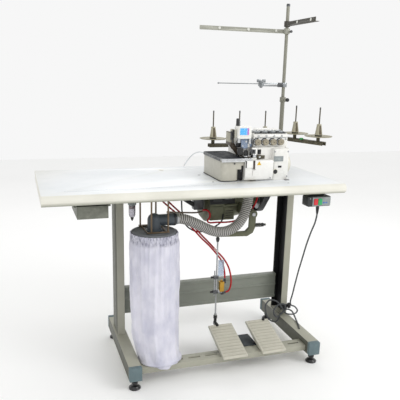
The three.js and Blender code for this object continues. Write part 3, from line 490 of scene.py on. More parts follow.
def swept(name, route, radius_at, material, body, sides):
    """A mesh tube along close points; radius_at(distance) gives its radius, both in metres."""
    points = []
    side = Vector((0, 1, 0))
    travelled = 0.0
    for i, where in enumerate(route):
        ahead = route[min(i + 1, len(route) - 1)]
        behind = route[max(i - 1, 0)]
        along = (ahead - behind).normalized()
        side = (side - along * side.dot(along)).normalized()
        other = along.cross(side)
        if i:
            travelled += (where - route[i - 1]).length
        radius = radius_at(travelled)
        for k in range(sides):
            angle = 2 * math.pi * k / sides
            points.append(where + (side * math.cos(angle) + other * math.sin(angle)) * radius)
    faces = ring_faces(len(route), sides) + caps(len(route), sides)
    return make_object(name, points, faces, material, body, sharp=60)


def resampled(route, step):
    """The same route as points a fixed distance apart."""
    result = [route[0].copy()]
    carry = 0.0
    for a, b in zip(route, route[1:]):
        length = (b - a).length
        position = step - carry
        while position < length:
            result.append(a.lerp(b, position / length))
            position += step
        carry = length - (position - step)
    result.append(route[-1].copy())
    return result


# ---- CAD nodes that keep their shape ----
KEPT = {
    "table_top": "laminate", "left_leg": "stand", "right_leg": "stand", "pedal_bar": "stand",
    "crossbar": "bar", "left_front_cap": "cap", "left_rear_cap": "cap", "right_front_cap": "cap",
    "right_rear_cap": "cap", "drawer": "drawer", "drawer_rails": "drawer", "switch_box": "switch",
    "stop_button": "red_button", "start_button": "green_button", "motor": "motor",
    "clutch_lever": "motor", "motor_pulley": "pulley", "drive_belt": "belt", "belt_guard": "guard",
    "treadle_rod": "steel", "left_pedal": "pedal", "right_pedal": "pedal", "bag_hanger": "hanger",
    "machine_bed": "bed", "cloth_plate": "plate_all", "machine_body": "ivory", "looper_cover": "cover",
    "needle_bar": "chrome", "presser_foot": "arm_brown", "head_cover": "ivory", "lower_pole": "pole",
    "upper_pole": "pole", "lower_arm_left": "olive_arm", "lower_arm_right": "olive_arm",
    "top_arm_left": "light_arm", "top_arm_right": "dark_arm", "guide_arm": "guide",
}
BEVEL_MM = {"table_top": 1.2, "left_leg": 1.5, "right_leg": 1.5, "machine_bed": 2.5, "machine_body": 2.5,
            "looper_cover": 2.0, "head_cover": 2.5, "motor": 2.0, "left_front_cap": 3.0,
            "right_front_cap": 3.0, "left_rear_cap": 3.0, "right_rear_cap": 3.0, "crossbar": 1.2}


def soften(node, width_mm):
    """Rounds a CAD node's hard edges with modifiers, so that they catch the light."""
    weld = node.modifiers.new("weld", "WELD")
    weld.merge_threshold = 0.00001
    bevel = node.modifiers.new("bevel", "BEVEL")
    bevel.width = width_mm / 1000
    bevel.segments = 2
    bevel.limit_method = "ANGLE"
    bevel.angle_limit = math.radians(35)
    bevel.use_clamp_overlap = True
    bevel.harden_normals = True


def dress_nodes():
    for name, material in KEPT.items():
        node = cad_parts[name]
        node.data.materials.clear()
        node.data.materials.append(SHEET[material])
        for polygon in node.data.polygons:
            polygon.use_smooth = True
            polygon.material_index = 0
        soften(node, BEVEL_MM.get(name, 0.7))


# ---- cords, hose and air tubes ----
HOSE_ROUTE = [(-85.7, -142, 662), (-66, -142, 661), (-42, -141, 655), (-14, -140, 643), (14, -138, 629),
              (44, -136, 613), (74, -134, 599), (104, -132, 592), (134, -130, 592), (162, -128, 600),
              (188, -126, 616), (208, -122, 638), (222, -118, 664), (232, -114, 694), (237, -112.5, 726),
              (238, -112, 759)]
TUBE_A_ROUTE = [(-83, 190, 758), (-86, 180, 722), (-86, 150, 700), (-77, 100, 680), (-51, 60, 655),
                (-8, 20, 618), (30, 0, 578), (68, -12, 534), (104, -20, 498), (133, -24, 464),
                (157, -28, 432), (168, -33, 402), (172, -39, 376), (173, -42, 351)]
TUBE_B_ROUTE = [(-64, 190, 758), (-65, 180, 722), (-65, 152, 702), (-59, 104, 686), (-38, 64, 663),
                (2, 26, 624), (37, 10, 585), (75, -2, 541), (110, -10, 504), (141, -14, 469),
                (172, -20, 434), (194, -26, 396), (205, -32, 352), (204, -38, 312), (192, -42, 288),
                (172, -42, 282.5)]
CABLE_ROUTE = [(509, -212, 691.5), (509, -212, 664), (508, -204, 628), (507, -180, 580), (508, -150, 520),
               (513, -112, 440), (521, -70, 360), (533, -26, 280), (543, 10, 212), (545, 28, 168),
               (552, 34, 148), (574, 32, 136), (585, 26, 118), (574, 22, 106.5), (548, 22, 104),
               (522, 26, 112), (502, 32, 142), (472, 36, 176), (438, 38, 182), (419, 38, 158),
               (424, 36, 116), (446, 34, 80), (474, 32, 70), (489, 31, 86), (497, 30, 108),
               (518, 29, 132), (514, 26, 158), (486, 28, 160), (462, 30, 136), (464, 30, 106),
               (482, 28, 96), (500, 26, 112), (524, 20, 134), (544, 8, 128), (548, -14, 112),
               (540, -52, 104.4), (526, -98, 103.6), (514, -128, 103.4)]
TUBE_C_ROUTE = [(140, 98.8, 862), (140, 112, 864), (132, 140, 876), (116, 176, 880), (98, 214, 866),
                (84, 250, 836), (76, 284, 803), (72, 297, 774), (70, 294, 748), (66, 270, 734),
                (60, 240, 732), (54, 215, 738), (50, 200, 748), (48, 195, 757)]
MOTOR_LOOP_ROUTE = [(121, 100, 628), (104, 72, 634), (97, 46, 643), (107, 32, 644), (119, 28, 630),
                    (117, 28, 610), (109, 28, 597), (117, 28, 589), (154, 28, 588), (197, 28, 586),
                    (235, 26, 590), (266, 18, 607), (288, 0, 630), (304, -14, 656), (318, -18, 690),
                    (326, -10, 724), (330, 4, 757)]
MOTOR_WIRE_ROUTE = [(-12, 30, 757), (-12, 26, 720), (-12, 22, 680), (-10, 20, 646), (-2, 20, 614),
                    (9, 20, 586), (30, 20, 567), (58, 20, 554), (88, 20, 553), (119, 22, 561), (150, 26, 573),
                    (174, 32, 587), (186, 44, 602), (190, 50, 618)]
HOSE_DIAMETER, HOSE_SIDES = 42, 40
RIB_PITCH, STEPS_PER_RIB = 0.0085, 6


def make_cords():
    for name, node, route_mm, length in (("red_tube_a", "air_tube_a", TUBE_A_ROUTE, 0.6),
                                         ("red_tube_b", "air_tube_b", TUBE_B_ROUTE, 0.69)):
        route = resampled(smooth_route(places(route_mm)), 0.004)
        piece = swept(name, route, lambda travelled: 0.00375, "tube_red", None, 20)
        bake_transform(piece)
        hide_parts(node)
    piece, points = strand("white_tube", TUBE_C_ROUTE, 5, "tube_white", "frame")
    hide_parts("white_air_tube")
    piece, points = strand("switch_cable", CABLE_ROUTE, 7, "cable", "frame")
    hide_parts("power_cable")
    relief = turned("cable_relief", "z", (509, -212, 692), [(-26, 4.0), (-24, 4.6), (-6, 6.4), (-1, 7.2),
        (0, 7.2)], "rubber", 32)
    make_hose()


def make_hose():
    """A spiral-ribbed suction hose: close crowned ribs on a smooth centre line."""
    route = resampled(smooth_route(places(HOSE_ROUTE), 24), RIB_PITCH / STEPS_PER_RIB)
    outer = HOSE_DIAMETER / 2000

    def radius_at(travelled):
        crown = abs(math.sin(math.pi * travelled / RIB_PITCH)) ** 0.6
        return outer - 0.0032 + 0.0034 * crown

    hose = swept("ribbed_hose", route, radius_at, "hose", "frame", HOSE_SIDES)
    # The rings at the bottom of each valley take a dark colour: the hose's dark wire, and painted shade in
    # the creases between the ribs.
    hose.data.materials.append(SHEET["hose_valley"])
    for i, polygon in enumerate(hose.data.polygons):
        if i // HOSE_SIDES % STEPS_PER_RIB in (0, STEPS_PER_RIB - 1):
            polygon.material_index = 1
    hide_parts("dust_hose")


# ---- dust bag ----
BAG = {"x": -172, "y": -142, "lid": 618, "low": 55}
BAR_FRONT, BAR_TOP = -232, 75
BAG_ROWS, BAG_SIDES = 96, 180
LEAN_X, LEAN_Y = 24, -29  # how far the bag's floor leans over the pedal bar


def bag_radius(height):
    """The bag's plain radius (mm) by height, from its closed bottom to the gathered hem."""
    stops = [(55, 73), (62, 84), (90, 89), (130, 91), (210, 98), (330, 103), (480, 103), (545, 103.5),
             (570, 105.5), (578, 104.5), (586, 100), (594, 96.5), (604, 96.5), (612, 97.5), (618, 94)]
    for (h0, r0), (h1, r1) in zip(stops, stops[1:]):
        if height <= h1:
            share = (height - h0) / (h1 - h0)
            share = share * share * (3 - 2 * share)
            return r0 + (r1 - r0) * max(0, share)
    return stops[-1][1]


def bag_point(height, angle):
    """One point of the bag: plain body, lean over the bar, pleats below the hem, soft folds."""
    band = max(0.0, min(1.0, (height - 570) / 18))
    body = max(0.0, min(1.0, (600 - height) / 120))
    gather = 34 * angle + 1.6 * math.sin(5 * angle) + 0.05 * height
    puckers = 1.9 * band * (math.sin(gather) + 0.7 * math.sin(53 * angle + 2 - 0.11 * height))
    creases = 1.5 * (1 - band) * math.exp(min(0, height - 575) / 34) * math.sin(gather - 0.03 * height)
    drape = 2.9 * body * (math.sin(7 * angle + 0.006 * height)
                          + 0.6 * math.sin(13 * angle - 0.004 * height + 1.1)
                          + 0.5 * math.sin(4 * angle + 0.018 * height))
    sag = 1.6 * body * math.sin(0.035 * height + 2.2 * math.sin(3 * angle))
    radius = bag_radius(height) + puckers + creases + drape + sag - 3
    drop = max(0.0, (330 - height) / 278) ** 2
    return (BAG["x"] + radius * math.cos(angle) + LEAN_X * drop,
            BAG["y"] + radius * math.sin(angle) + LEAN_Y * drop, height)


def make_bag():
    points = []
    low, high = BAG["low"], BAG["lid"] - 3
    for row in range(BAG_ROWS + 1):
        height = low + (high - low) * row / BAG_ROWS
        points += [place(*bag_point(height, 2 * math.pi * i / BAG_SIDES)) for i in range(BAG_SIDES)]
    faces = ring_faces(BAG_ROWS + 1, BAG_SIDES)
    for ring, share in enumerate((0.75, 0.5, 0.25)):
        for i in range(BAG_SIDES):
            x, y, _ = bag_point(low, 2 * math.pi * i / BAG_SIDES)
            cx, cy = BAG["x"] + LEAN_X, BAG["y"] + LEAN_Y
            points.append(place(cx + (x - cx) * share, cy + (y - cy) * share, low - 1 - ring * 0.4))
        outer = 0 if ring == 0 else (BAG_ROWS + ring) * BAG_SIDES
        inner = (BAG_ROWS + 1 + ring) * BAG_SIDES
        for i in range(BAG_SIDES):
            j = (i + 1) % BAG_SIDES
            faces.append((inner + i, inner + j, outer + j, outer + i))
    last = (BAG_ROWS + 3) * BAG_SIDES
    faces.append(tuple(reversed(range(last, last + BAG_SIDES))))
    bag = make_object("cloth_bag", points, faces, "bag", "frame", sharp=180)
    settle_bag(bag)
    crumple(bag)
    keep_off_bar(bag)
    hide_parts("dust_bag")


def settle_bag(bag):
    """A short cloth run: the hem is pinned, trimmings push outwards and the cloth sags and creases."""
    mesh = bag.data
    rest = [v.co.copy() for v in mesh.vertices]
    pins = bag.vertex_groups.new(name="held")
    hem, floor = (BAG["lid"] - 24) / 1000, 0.075
    pins.add([v.index for v in mesh.vertices if v.co.z > hem or v.co.z < floor], 1.0, "REPLACE")
    cloth = bag.modifiers.new("cloth", "CLOTH")
    settings = cloth.settings
    settings.quality = 6
    settings.mass = 0.15
    settings.tension_stiffness = settings.compression_stiffness = 12
    settings.bending_stiffness = 0.15
    settings.shrink_min = -0.035
    settings.use_pressure = True
    settings.uniform_pressure_force = 1.2
    settings.vertex_group_mass = pins.name
    scene = bpy.context.scene
    for number in range(1, 22):
        scene.frame_set(number)
    moved = [v.co.copy() for v in bag.evaluated_get(bpy.context.evaluated_depsgraph_get()).data.vertices]
    bag.modifiers.remove(cloth)
    bag.vertex_groups.remove(pins)
    most = 0.009
    for vertex, start, end in zip(mesh.vertices, rest, moved):
        step = end - start
        vertex.co = start + (step if step.length <= most else step.normalized() * most)
    mesh.update()
    scene.frame_set(1)


def crumple(bag):
    """Presses the small sharp creases of thin nylon into the settled cloth."""
    axis = place(BAG["x"], BAG["y"], 0)
    for vertex in bag.data.vertices:
        below_hem = max(0.0, min(1.0, (0.585 - vertex.co.z) / 0.05))
        above_floor = max(0.0, min(1.0, (vertex.co.z - 0.06) / 0.05))
        outward = Vector((vertex.co.x - axis.x, vertex.co.y - axis.y, 0)).normalized()
        at = Vector((vertex.co.x * 17, vertex.co.y * 17, vertex.co.z * 11))
        sharp = noise.turbulence(at, 3, True, noise_basis="PERLIN_ORIGINAL")
        vertex.co += outward * below_hem * above_floor * (0.0042 * (0.55 - sharp))
    bag.data.update()


def keep_off_bar(bag):
    """Rests the bag's floor on the pedal bar; only its front lip sags down past the bar's face."""
    front, top = (BAR_FRONT - 3) / 1000, (BAR_TOP + 3) / 1000
    for vertex in bag.data.vertices:
        floor = top - 0.8 * max(0.0, front - vertex.co.y)
        vertex.co.z = max(vertex.co.z, floor)
    bag.data.update()


def make_bag_top():
    x, y, lid = BAG["x"], BAG["y"], BAG["lid"]
    cover = turned("lid_disc", "z", (x, y, lid - 24), [(0, 86), (4, 88), (20, 88), (22, 87.6), (24, 87),
        (25.6, 85.4), (25.8, 80), (23.6, 78), (23.4, 60), (24.4, 58), (24.4, 40), (26, 38), (26, 34)],
        "lid", 96)
    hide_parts("bag_lid")
    collar = [(2, 26), (2, 32), (3, 33), (7, 33), (8, 28), (9, 27), (44, 27)]
    slopes = [math.radians(10 * i) for i in range(1, 9)]
    dome = [(44 + 27 * math.sin(slope), 27 * math.cos(slope)) for slope in slopes]
    bend = turned("elbow_bend", "z", (x, y, lid), collar + dome + [(71, 2)], "elbow", 56)
    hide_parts("lid_elbow")
    turned("elbow_run", "x", (x, y, 660.5), [(0, 22), (18, 22.6), (27, 22.4), (52, 22.4), (53, 24.6),
        (79, 24.8), (80, 24), (86, 23.6), (86, 20)], "elbow", 56)
    turned("elbow_band", "x", (-96, y, 661), [(0, 24.6), (0.6, 25.8), (6, 25.8), (6.6, 24.6)],
        "gloss_black", 56)
    turned("hose_band", "x", (-84, y, 662), [(0, 21.6), (0.6, 22.6), (8, 22.6), (8.6, 21.6)], "steel", 48)


def rounded_slab(name, low, high, corner, material, body, smooth_edge=0.6):
    """A flat plate with round corners in plan and a small rounded edge."""
    (x0, y0, z0), (x1, y1, z1) = low, high
    outline = []
    for cx, cy, start in ((x1 - corner, y0 + corner, -90), (x1 - corner, y1 - corner, 0),
                          (x0 + corner, y1 - corner, 90), (x0 + corner, y0 + corner, 180)):
        for k in range(9):
            angle = math.radians(start + 90 * k / 8)
            outline.append((cx + corner * math.cos(angle), cy + corner * math.sin(angle)))
    count = len(outline)
    mid_x, mid_y = (x0 + x1) / 2, (y0 + y1) / 2
    shrink = 1 - 2 * smooth_edge / min(x1 - x0, y1 - y0)
    points = []
    for z, factor in ((z0, shrink), (z0 + smooth_edge, 1), (z1 - smooth_edge, 1), (z1, shrink)):
        points += [place(mid_x + (x - mid_x) * factor, mid_y + (y - mid_y) * factor, z) for x, y in outline]
    return make_object(name, points, ring_faces(4, count) + caps(4, count), material, body)


# ---- thread stand ----
STAND_PLACE = (525, 200)
TOP_ARM_LEFT, TOP_ARM_RIGHT = 413, 278  # lengths of the two top arms
SPOOLS = [(1, (185, 200), 934, "lower_arm_left"), (2, (312, 200), 934, "lower_arm_left"),
          (3, (442, 200), 934, "lower_arm_left"), (4, (556, 117), 963, "lower_arm_right"),
          (5, (601, -17), 963, "lower_arm_right")]


def lobed(angle, distance):
    """The cone's three open flanks, between its two rims."""
    if distance < 3 or distance > 42:
        return 1.0
    return 1.0 if math.cos(3 * angle + 1.2) > -0.1 else 0.74


def make_spool_seats():
    for number, (x, y), z, body in SPOOLS:
        disc = turned(f"spool_disc_{number}", "z", (x, y, z), [(0, 7), (0, 20), (0.4, 22), (0.8, 46),
            (1.6, 58), (3.0, 60.6), (4.2, 61), (4.8, 60.2), (4.3, 57.5), (3.2, 46), (2.8, 24), (3.2, 12),
            (3.4, 7.4), (9, 7)], "spool", 96, body)
        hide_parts(f"spool_seat_{number}")

        turned(f"spool_cone_{number}", "z", (x, y, z + 8.6), [(0, 16), (0.5, 17), (2.5, 17), (3.2, 16.6),
            (41.8, 10.4), (42.2, 10.6), (46, 10.2), (47.5, 8.8), (47.6, 3.6)], "cone", 90, body, lobed)
        turned(f"spool_core_{number}", "z", (x, y, z + 9), [(2, 12.6), (3, 13.2), (40, 8.4), (41, 7.6)],
            "flank", 48, body)
        turned(f"spool_foam_{number}", "z", (x, y, z + 3.3), [(0, 14), (0.4, 15), (4.6, 15), (5.2, 13.6)],
            "rubber", 48, body)
        turned(f"pin_tip_{number}", "z", (x, y, z + 119), [(0, 3.2), (6, 3.3), (8.4, 2.6), (9.2, 1.2)],
            "dark_steel", 24, body)


def make_stand_details():
    x, y = STAND_PLACE
    for number, along in enumerate((0.12, 0.45, 0.78), 1):
        where = (x - along * TOP_ARM_LEFT, y + 8, 1416)
        turned(f"left_eyelet_{number}", "y", where, [(-3.4, 3.0), (-3.4, 5.4), (-2.6, 6.4), (2.6, 6.4),
            (3.4, 5.4), (3.4, 3.0)], "tie", 40, "top_arm_left")
    for number, along in enumerate((0.42, 0.86), 1):
        where = (x - 5 * along - 8, y - TOP_ARM_RIGHT * along, 1447)
        turned(f"right_eyelet_{number}", "x", where, [(-3.2, 3.0), (-3.2, 5.2), (-2.4, 6.2), (2.4, 6.2),
            (3.2, 5.2), (3.2, 3.0)], "tie", 40, "top_arm_right")
    for side, z in (("left", 1410), ("right", 1441)):
        turned(f"{side}_clamp_cap", "y", (x + 10, y - 27, z + 4), [(0, 5.4), (0.6, 6), (4.6, 6), (5.4, 5.2),
            (5.6, 3.2), (3.6, 2.8)], "dark_steel", 30, f"top_arm_{side}")
    turned("guide_tip", "x", (199, y, 1183), [(0, 1.6), (1, 3.2), (4, 3.8), (7, 3.2), (8, 2.2)], "guide",
        28, "guide_arm")
    turned("guide_bolt", "z", (411, y, 1165), [(0, 5.2), (1, 6), (6, 6), (7, 9.4), (30, 9.4), (31, 8),
        (31.4, 4)], "guide", 36, "guide_arm")
    block("wing_nut_left", (389, y - 2.2, 1189), (407, y + 2.2, 1203), "guide", 2, "guide_arm")
    block("wing_nut_right", (415, y - 2.2, 1189), (433, y + 2.2, 1203), "guide", 2, "guide_arm")
    block("guide_sleeve", (486, y - 20.5, 1170), (512, y - 14, 1190), "dark_steel", 1.5, "guide_arm")
    turned("joint_knob", "y", (x, y - 52, 1114), [(0, 5.6), (1, 8.2), (7, 8.6), (9, 7.6), (9.6, 5),
        (12, 4.4)], "rubber", 36)
    turned("pole_washer", "z", (x, y, 800.4), [(0, 30), (0.6, 31), (2.6, 31), (3.2, 30), (3.2, 26)],
        "dark_steel", 56)
    block("arm_clip", (551, 52, 944), (566, 62, 951), "green_bit", 1.2, "lower_arm_right")
    turned("pole_top_cap", "z", (x, y, 1522), [(0, 8.2), (9, 8.3), (10.6, 7.4), (11, 5.6)], "dark_steel",
        40, "upper_pole")


# ---- machine head ----
KNOB_COLUMNS = (265, 300, 335, 369)


def knurl(angle, distance):
    return 1 + (0.03 * math.cos(22 * angle) if -20 < distance < -11.5 else 0)


def make_head():
    wheel = turned("hand_wheel", "x", (399, -20, 850), [(0.2, 20), (0.2, 36.6), (1, 38), (2.6, 38),
        (5.6, 29.4), (12.6, 29.4), (15.4, 38), (17.4, 38), (18.2, 36), (19, 22), (20, 34), (22, 39.6),
        (25, 43), (28, 44), (44, 44), (47.4, 43.4), (50.4, 41.4), (52.6, 38.6), (52.8, 35), (50.6, 31.6),
        (47, 29.6), (45.4, 26), (45, 16), (46.4, 14), (50.6, 13), (51, 11), (51, 5), (49, 4.6)], "wheel",
        96, "handwheel")
    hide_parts("handwheel")
    turned("wheel_bolt", "x", (449.4, -20, 850), [(0, 4.2), (0, 4.8), (1.8, 4.8), (2.3, 4.0)], "steel", 6,
        "handwheel")
    for number, x in enumerate(KNOB_COLUMNS, 1):
        body = f"tension_knob_{number}"
        knob = turned(f"dial_{number}", "y", (x, -104, 956), [(-10.4, 4), (-10.6, 11.6), (-11.2, 12.8),
            (-12, 13), (-16, 13), (-19.6, 12.7), (-21.2, 11.4), (-21.8, 9), (-21.4, 6.4), (-20.8, 4.4),
            (-21.6, 2.4)], "knob", 88, body, knurl)
        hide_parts(body)
        turned(f"dial_spring_{number}", "y", (x, -104, 956), [(-10.4, 6), (-10.2, 6.6), (-8.8, 6.6),
            (-8.4, 5.6), (-7.2, 6.6), (-6.4, 5.6), (-5.4, 6.6), (-4.6, 6)], "dark_steel", 36, body)
        turned(f"dial_discs_{number}", "y", (x, -104, 956), [(-0.4, 7), (-0.5, 11.4), (-1.2, 12.2),
            (-2.0, 11.0), (-2.3, 9), (-2.7, 11.0), (-3.5, 12.2), (-4.1, 11.2), (-4.4, 6)], "chrome", 56,
            body)
        # The dark discs in the tension post holes are painted shade.
        turned(f"dial_hole_{number}", "y", (x + 17.4, -105.4, 961), [(0, 2.4), (0.2, 2.8), (1.6, 2.8)],
            "void", 24)
        turned(f"dial_ring_{number}", "y", (x, -106.4, 956), [(0, 14.2), (0.2, 15), (1.6, 15.4)], "void",
            56)
        block(f"dial_post_{number}", (x - 1.6, -127.4, 955), (x + 1.6, -124.6, 957), "void", 0.4, body)
    make_head_top()
    make_needle_area()
    make_cover_and_bed()
    make_column()


def make_head_top():
    """Thread guides, covers and screws on top of the tension block."""
    block("top_plate", (257, -101, 990.2), (402, -34, 992.2), "dark_steel", 0.8)
    for i in range(4):
        x = 262 + 35 * i
        block(f"guide_block_{i + 1}", (x, -97, 991.6), (x + 20, -52, 998.6), "guide", 1.6)
        # The dark slots beside the thread guides are painted shade.
        block(f"guide_slot_{i + 1}", (x + 22, -95, 991.8), (x + 30, -60, 995.4), "void", 1)
        turned(f"guide_peg_{i + 1}", "z", (x + 10, -84, 998), [(0, 2.4), (3.6, 2.4), (4.4, 3.4), (5.6, 3.4),
            (6.2, 2.4)], "chrome", 24)
        turned(f"guide_eye_{i + 1}", "y", (x + 12, -104.2, 980), [(-3.4, 1.6), (-3.4, 3.2), (-2.6, 3.8),
            (0, 3.8)], "chrome", 28)
    block("front_rail", (258, -105.6, 971.5), (401, -103.6, 974), "guide", 0.6)
    for number, x in enumerate((262, 397), 1):
        turned(f"rail_screw_{number}", "y", (x, -106.8, 966), [(0, 3), (0.2, 3.4), (1.6, 3.6), (2.6, 3.6)],
            "steel", 28)
    block("rear_cover", (300, -28, 988), (396, 18, 1002), "ivory", 5)


def make_needle_area():
    """The chrome, black and blued parts between the head cover and the cloth plate."""
    block("display_frame", (183.5, -114.2, 982), (229.5, -112.2, 1016), "ivory", 1.6)
    block("display_screen", (187, -115.2, 985.4), (226, -113.4, 1012.6), "screen", 0.8)
    turned("top_knob", "z", (186.5, -88, 1020.4), [(0, 7.4), (0.6, 8), (4, 8), (4.6, 7.4), (6, 7), (26, 7),
        (28.6, 6), (29.6, 4), (29.6, 2)], "gloss_black", 40)
    turned("top_rod", "z", (197, -84, 1020), [(0, 3.6), (2, 3.6), (2.6, 2.8), (14, 2.8), (15, 3.6),
        (18, 3.6), (19, 2.6)], "chrome", 32)
    block("side_cap", (172.5, -100, 972), (180.4, -78, 1006), "bed", 2.5)
    turned("side_cap_knob", "z", (170, -70, 993), [(0, 6.5), (0.6, 7), (12, 7), (13, 6), (13.4, 3)],
        "presser", 36)
    block("presser_housing", (161.5, -81.6, 948), (178.5, -21.4, 994), "housing", 6, "presser_foot")
    block("needle_bush", (199, -101, 929), (229, -97.6, 968), "blue_steel", 1.4)
    block("needle_bush_side", (238.4, -99, 934), (247, -70.5, 969), "blue_steel", 2)
    block("side_block", (230, -108, 948), (241, -100, 990), "chrome", 2)
    turned("bush_screw", "y", (220, -103.6, 958), [(0, 3.2), (0.2, 3.8), (2, 3.8)], "chrome", 30)
    turned("bush_screw_low", "y", (206, -103.6, 940), [(0, 2.6), (0.2, 3.2), (2, 3.2)], "chrome", 30)
    turned("needle_clamp_screw", "y", (224, -92.8, 912), [(0, 2), (0.2, 2.5), (0.9, 2.5)], "chrome", 24,
        "needle_bar")
    block("take_up_arm", (186, -96, 951), (204, -90, 968.4), "chrome", 1.6)
    block("take_up_black", (183, -92, 934), (205, -84, 950), "void", 2)
    block("foot_holder", (216, -98, 899.8), (233, -93.4, 921), "gloss_black", 1.4, "presser_foot")
    block("foot_spring", (206.5, -113, 899.4), (240.4, -96.5, 901), "chrome", 0.6, "presser_foot")
    block("foot_toe", (208, -118, 895.9), (222, -113.3, 899.4), "chrome", 0.8, "presser_foot")
    turned("foot_hinge_pin", "x", (205.4, -91, 907), [(0, 2.2), (0.4, 3), (5, 3), (5.4, 2.2)], "chrome", 24,
        "presser_foot")
    block("finger_guard", (243, -118.4, 887.6), (246, -88, 928), "gloss_black", 1)
    block("guard_block", (238.5, -117.6, 909), (258, -113.4, 927), "dark_steel", 1.2)
    block("looper_guide", (247, -117.6, 893.6), (262, -112.6, 907), "chrome", 1.4)
    block("knife_holder", (264.6, -124, 888), (282, -113.4, 905), "olive_arm", 2)
    turned("knife_screw", "y", (273, -126.4, 897), [(0, 3.6), (0.3, 4.4), (2.4, 4.4)], "chrome", 6)
    block("foot_lifter", (182, -110, 903), (206, -101, 934), "gloss_black", 2)
    block("left_guide", (165, -90, 950), (170.4, -82.6, 1006), "gloss_black", 1.6)
    block("left_guide_plate", (158, -86, 962), (163.6, -82.4, 998), "dark_steel", 1)
    block("hole_plate", (242, -116.8, 905), (266, -112.4, 934), "cover", 1.4)
    # The dark gap in the hole plate is painted shade.
    block("hole_plate_gap", (246, -117.6, 914), (252, -116.2, 926), "void", 0.6)
    block("dark_window", (269, -115.2, 907), (283, -111.4, 926), "void", 1.4)
    block("take_up_cover", (284, -117.4, 888), (300, -113, 902), "olive_arm", 1.2)


def make_cover_and_bed():
    # A dark sheet behind the gap between the bed and the looper cover: painted shade.
    block("gap_painted_shade", (181.4, -118, 803.4), (204.7, -115.4, 884), "void", 0.6)
    block("gap_latch", (190, -121, 836), (204.4, -118.2, 862), "gloss_black", 1.2)
    rounded_slab("bed_gasket", (104.6, -131.4, 800.3), (182.2, 99.2, 803.4), 16, "rubber", "frame")
    rounded_slab("body_gasket", (206.2, -118.4, 800.15), (400, 99, 800.9), 10, "rubber", "frame", 0.2)
    block("plate_front_trim", (104, -137.6, 880), (236, -136.2, 893.6), "chrome", 0.5, "cloth_plate")
    block("plate_side_trim", (101.4, -122, 883), (102.8, 84, 893.6), "dark_steel", 0.5, "cloth_plate")
    turned("bed_screw", "y", (162, -133, 873), [(0, 2.6), (0.3, 3.2), (2.4, 3.4), (3, 3.4)], "dark_steel",
        30)
    # The dark gap at the looper cover's corner is painted shade.
    block("cover_corner_gap", (206.4, -141.9, 856), (211, -141.1, 884), "void", 0.3, "looper_cover")
    block("cover_finger", (247.6, -143, 850), (254, -141, 886), "cover", 0.8, "looper_cover")
    block("cover_slot_liner", (239.4, -142, 851), (247.2, -141.1, 885.2), "slot_brown", 0.3, "looper_cover")
    block("cover_finger_liner", (211, -137.3, 824.5), (239, -136.5, 854.6), "cover", 0.3, "looper_cover")
    turned("cover_spring_knob", "y", (318, -143.4, 812), [(0, 2), (0.4, 3), (2.2, 3.2)], "steel", 28,
        "looper_cover")
    corners = [place(256, -141.6, 866), place(275, -141.6, 866), place(265.5, -141.6, 882)]
    behind = [p + Vector((0, 0.0003, 0)) for p in corners]
    faces = [(0, 1, 2), (3, 5, 4), (0, 3, 4, 1), (1, 4, 5, 2), (2, 5, 3, 0)]
    make_object("yellow_patch", corners + behind, faces, "yellow", "looper_cover", sharp=None)


def make_column():
    """Plugs, screws, an oil window and a plain badge on the machine's front and side."""
    turned("oil_plug", "y", (342, -137.6, 836), [(0, 3), (0, 8.4), (0.8, 9.2), (3.4, 9.4)], "gloss_black",
        48)
    turned("oil_plug_ring", "y", (342, -136.2, 836), [(0, 10.6), (0.4, 11.4), (2.0, 11.6)], "wheel", 48)
    block("plain_badge", (334, -135.4, 878), (376, -134.2, 900), "switch_plate", 0.5)
    for number, (x, z) in enumerate(((338, 918), (397, 918), (397, 815)), 1):
        turned(f"column_screw_{number}", "y", (x, -136, z), [(0, 2.6), (0.2, 3), (1.8, 3.2), (2.4, 3.2)],
            "steel", 28)
    block("column_seam", (333.4, -134.6, 806), (334.4, -133.9, 926), "bar", 0.2)
    block("oil_sight", (354, -135.3, 852), (370, -134.1, 860), "void", 0.4)
    block("foot_screw_plate", (384, -148, 800.2), (404, -135, 802.4), "dark_steel", 0.8)


# ---- table, switch, feet ----
def make_table_details():
    for number, (x, y, radius) in enumerate(((69, 41, 6), (75, -123, 5), (371, -203, 4)), 1):
        turned(f"table_plug_{number}", "z", (x, y, 799.9), [(0, radius), (0.5, radius), (0.7, radius - 1.2),
            (0.5, radius - 2)], "dark_steel", 36)
    start, end = Vector((-513, -200, 0)), Vector((125, -182, 0))
    along = (end - start).normalized()
    points, faces = [], []

    def strip(middle, half_length, half_width, direction):
        across = Vector((-direction.y, direction.x, 0))
        base = len(points)
        for z in (799.95, 800.12):
            for a, b in ((-1, -1), (1, -1), (1, 1), (-1, 1)):
                corner = middle + direction * half_length * a + across * half_width * b
                points.append(place(corner.x, corner.y, z))
        faces.extend(tuple(base + i for i in face) for face in (
            (3, 2, 1, 0), (4, 5, 6, 7), (0, 1, 5, 4), (1, 2, 6, 5), (2, 3, 7, 6), (3, 0, 4, 7)))

    length = (end - start).length
    strip((start + end) / 2, length / 2, 0.5, along)
    across = Vector((-along.y, along.x, 0))
    for i in range(int(length / 10) + 1):
        tall = 5.5 if i % 5 == 0 else 2.6
        strip(start + along * 10 * i + across * tall, tall, 0.35, across)
    make_object("printed_rule", points, faces, "ink", "frame", sharp=None)


def make_switch_details():
    block("switch_face", (468, -239.6, 706), (550.5, -238.1, 742.5), "switch_plate", 0.6)
    block("mark_one", (515, -240.1, 716), (525, -239.2, 722), "blue_mark", 0.3)
    block("mark_two", (528, -240.1, 716), (536, -239.2, 722), "blue_mark", 0.3)
    for number, (x, z) in enumerate(((457, 738), (545, 738), (545, 710)), 1):
        turned(f"switch_screw_{number}", "y", (x, -240.2, z), [(0, 1.8), (0.2, 2.2), (1.4, 2.3), (2, 2.3)],
            "steel", 24)


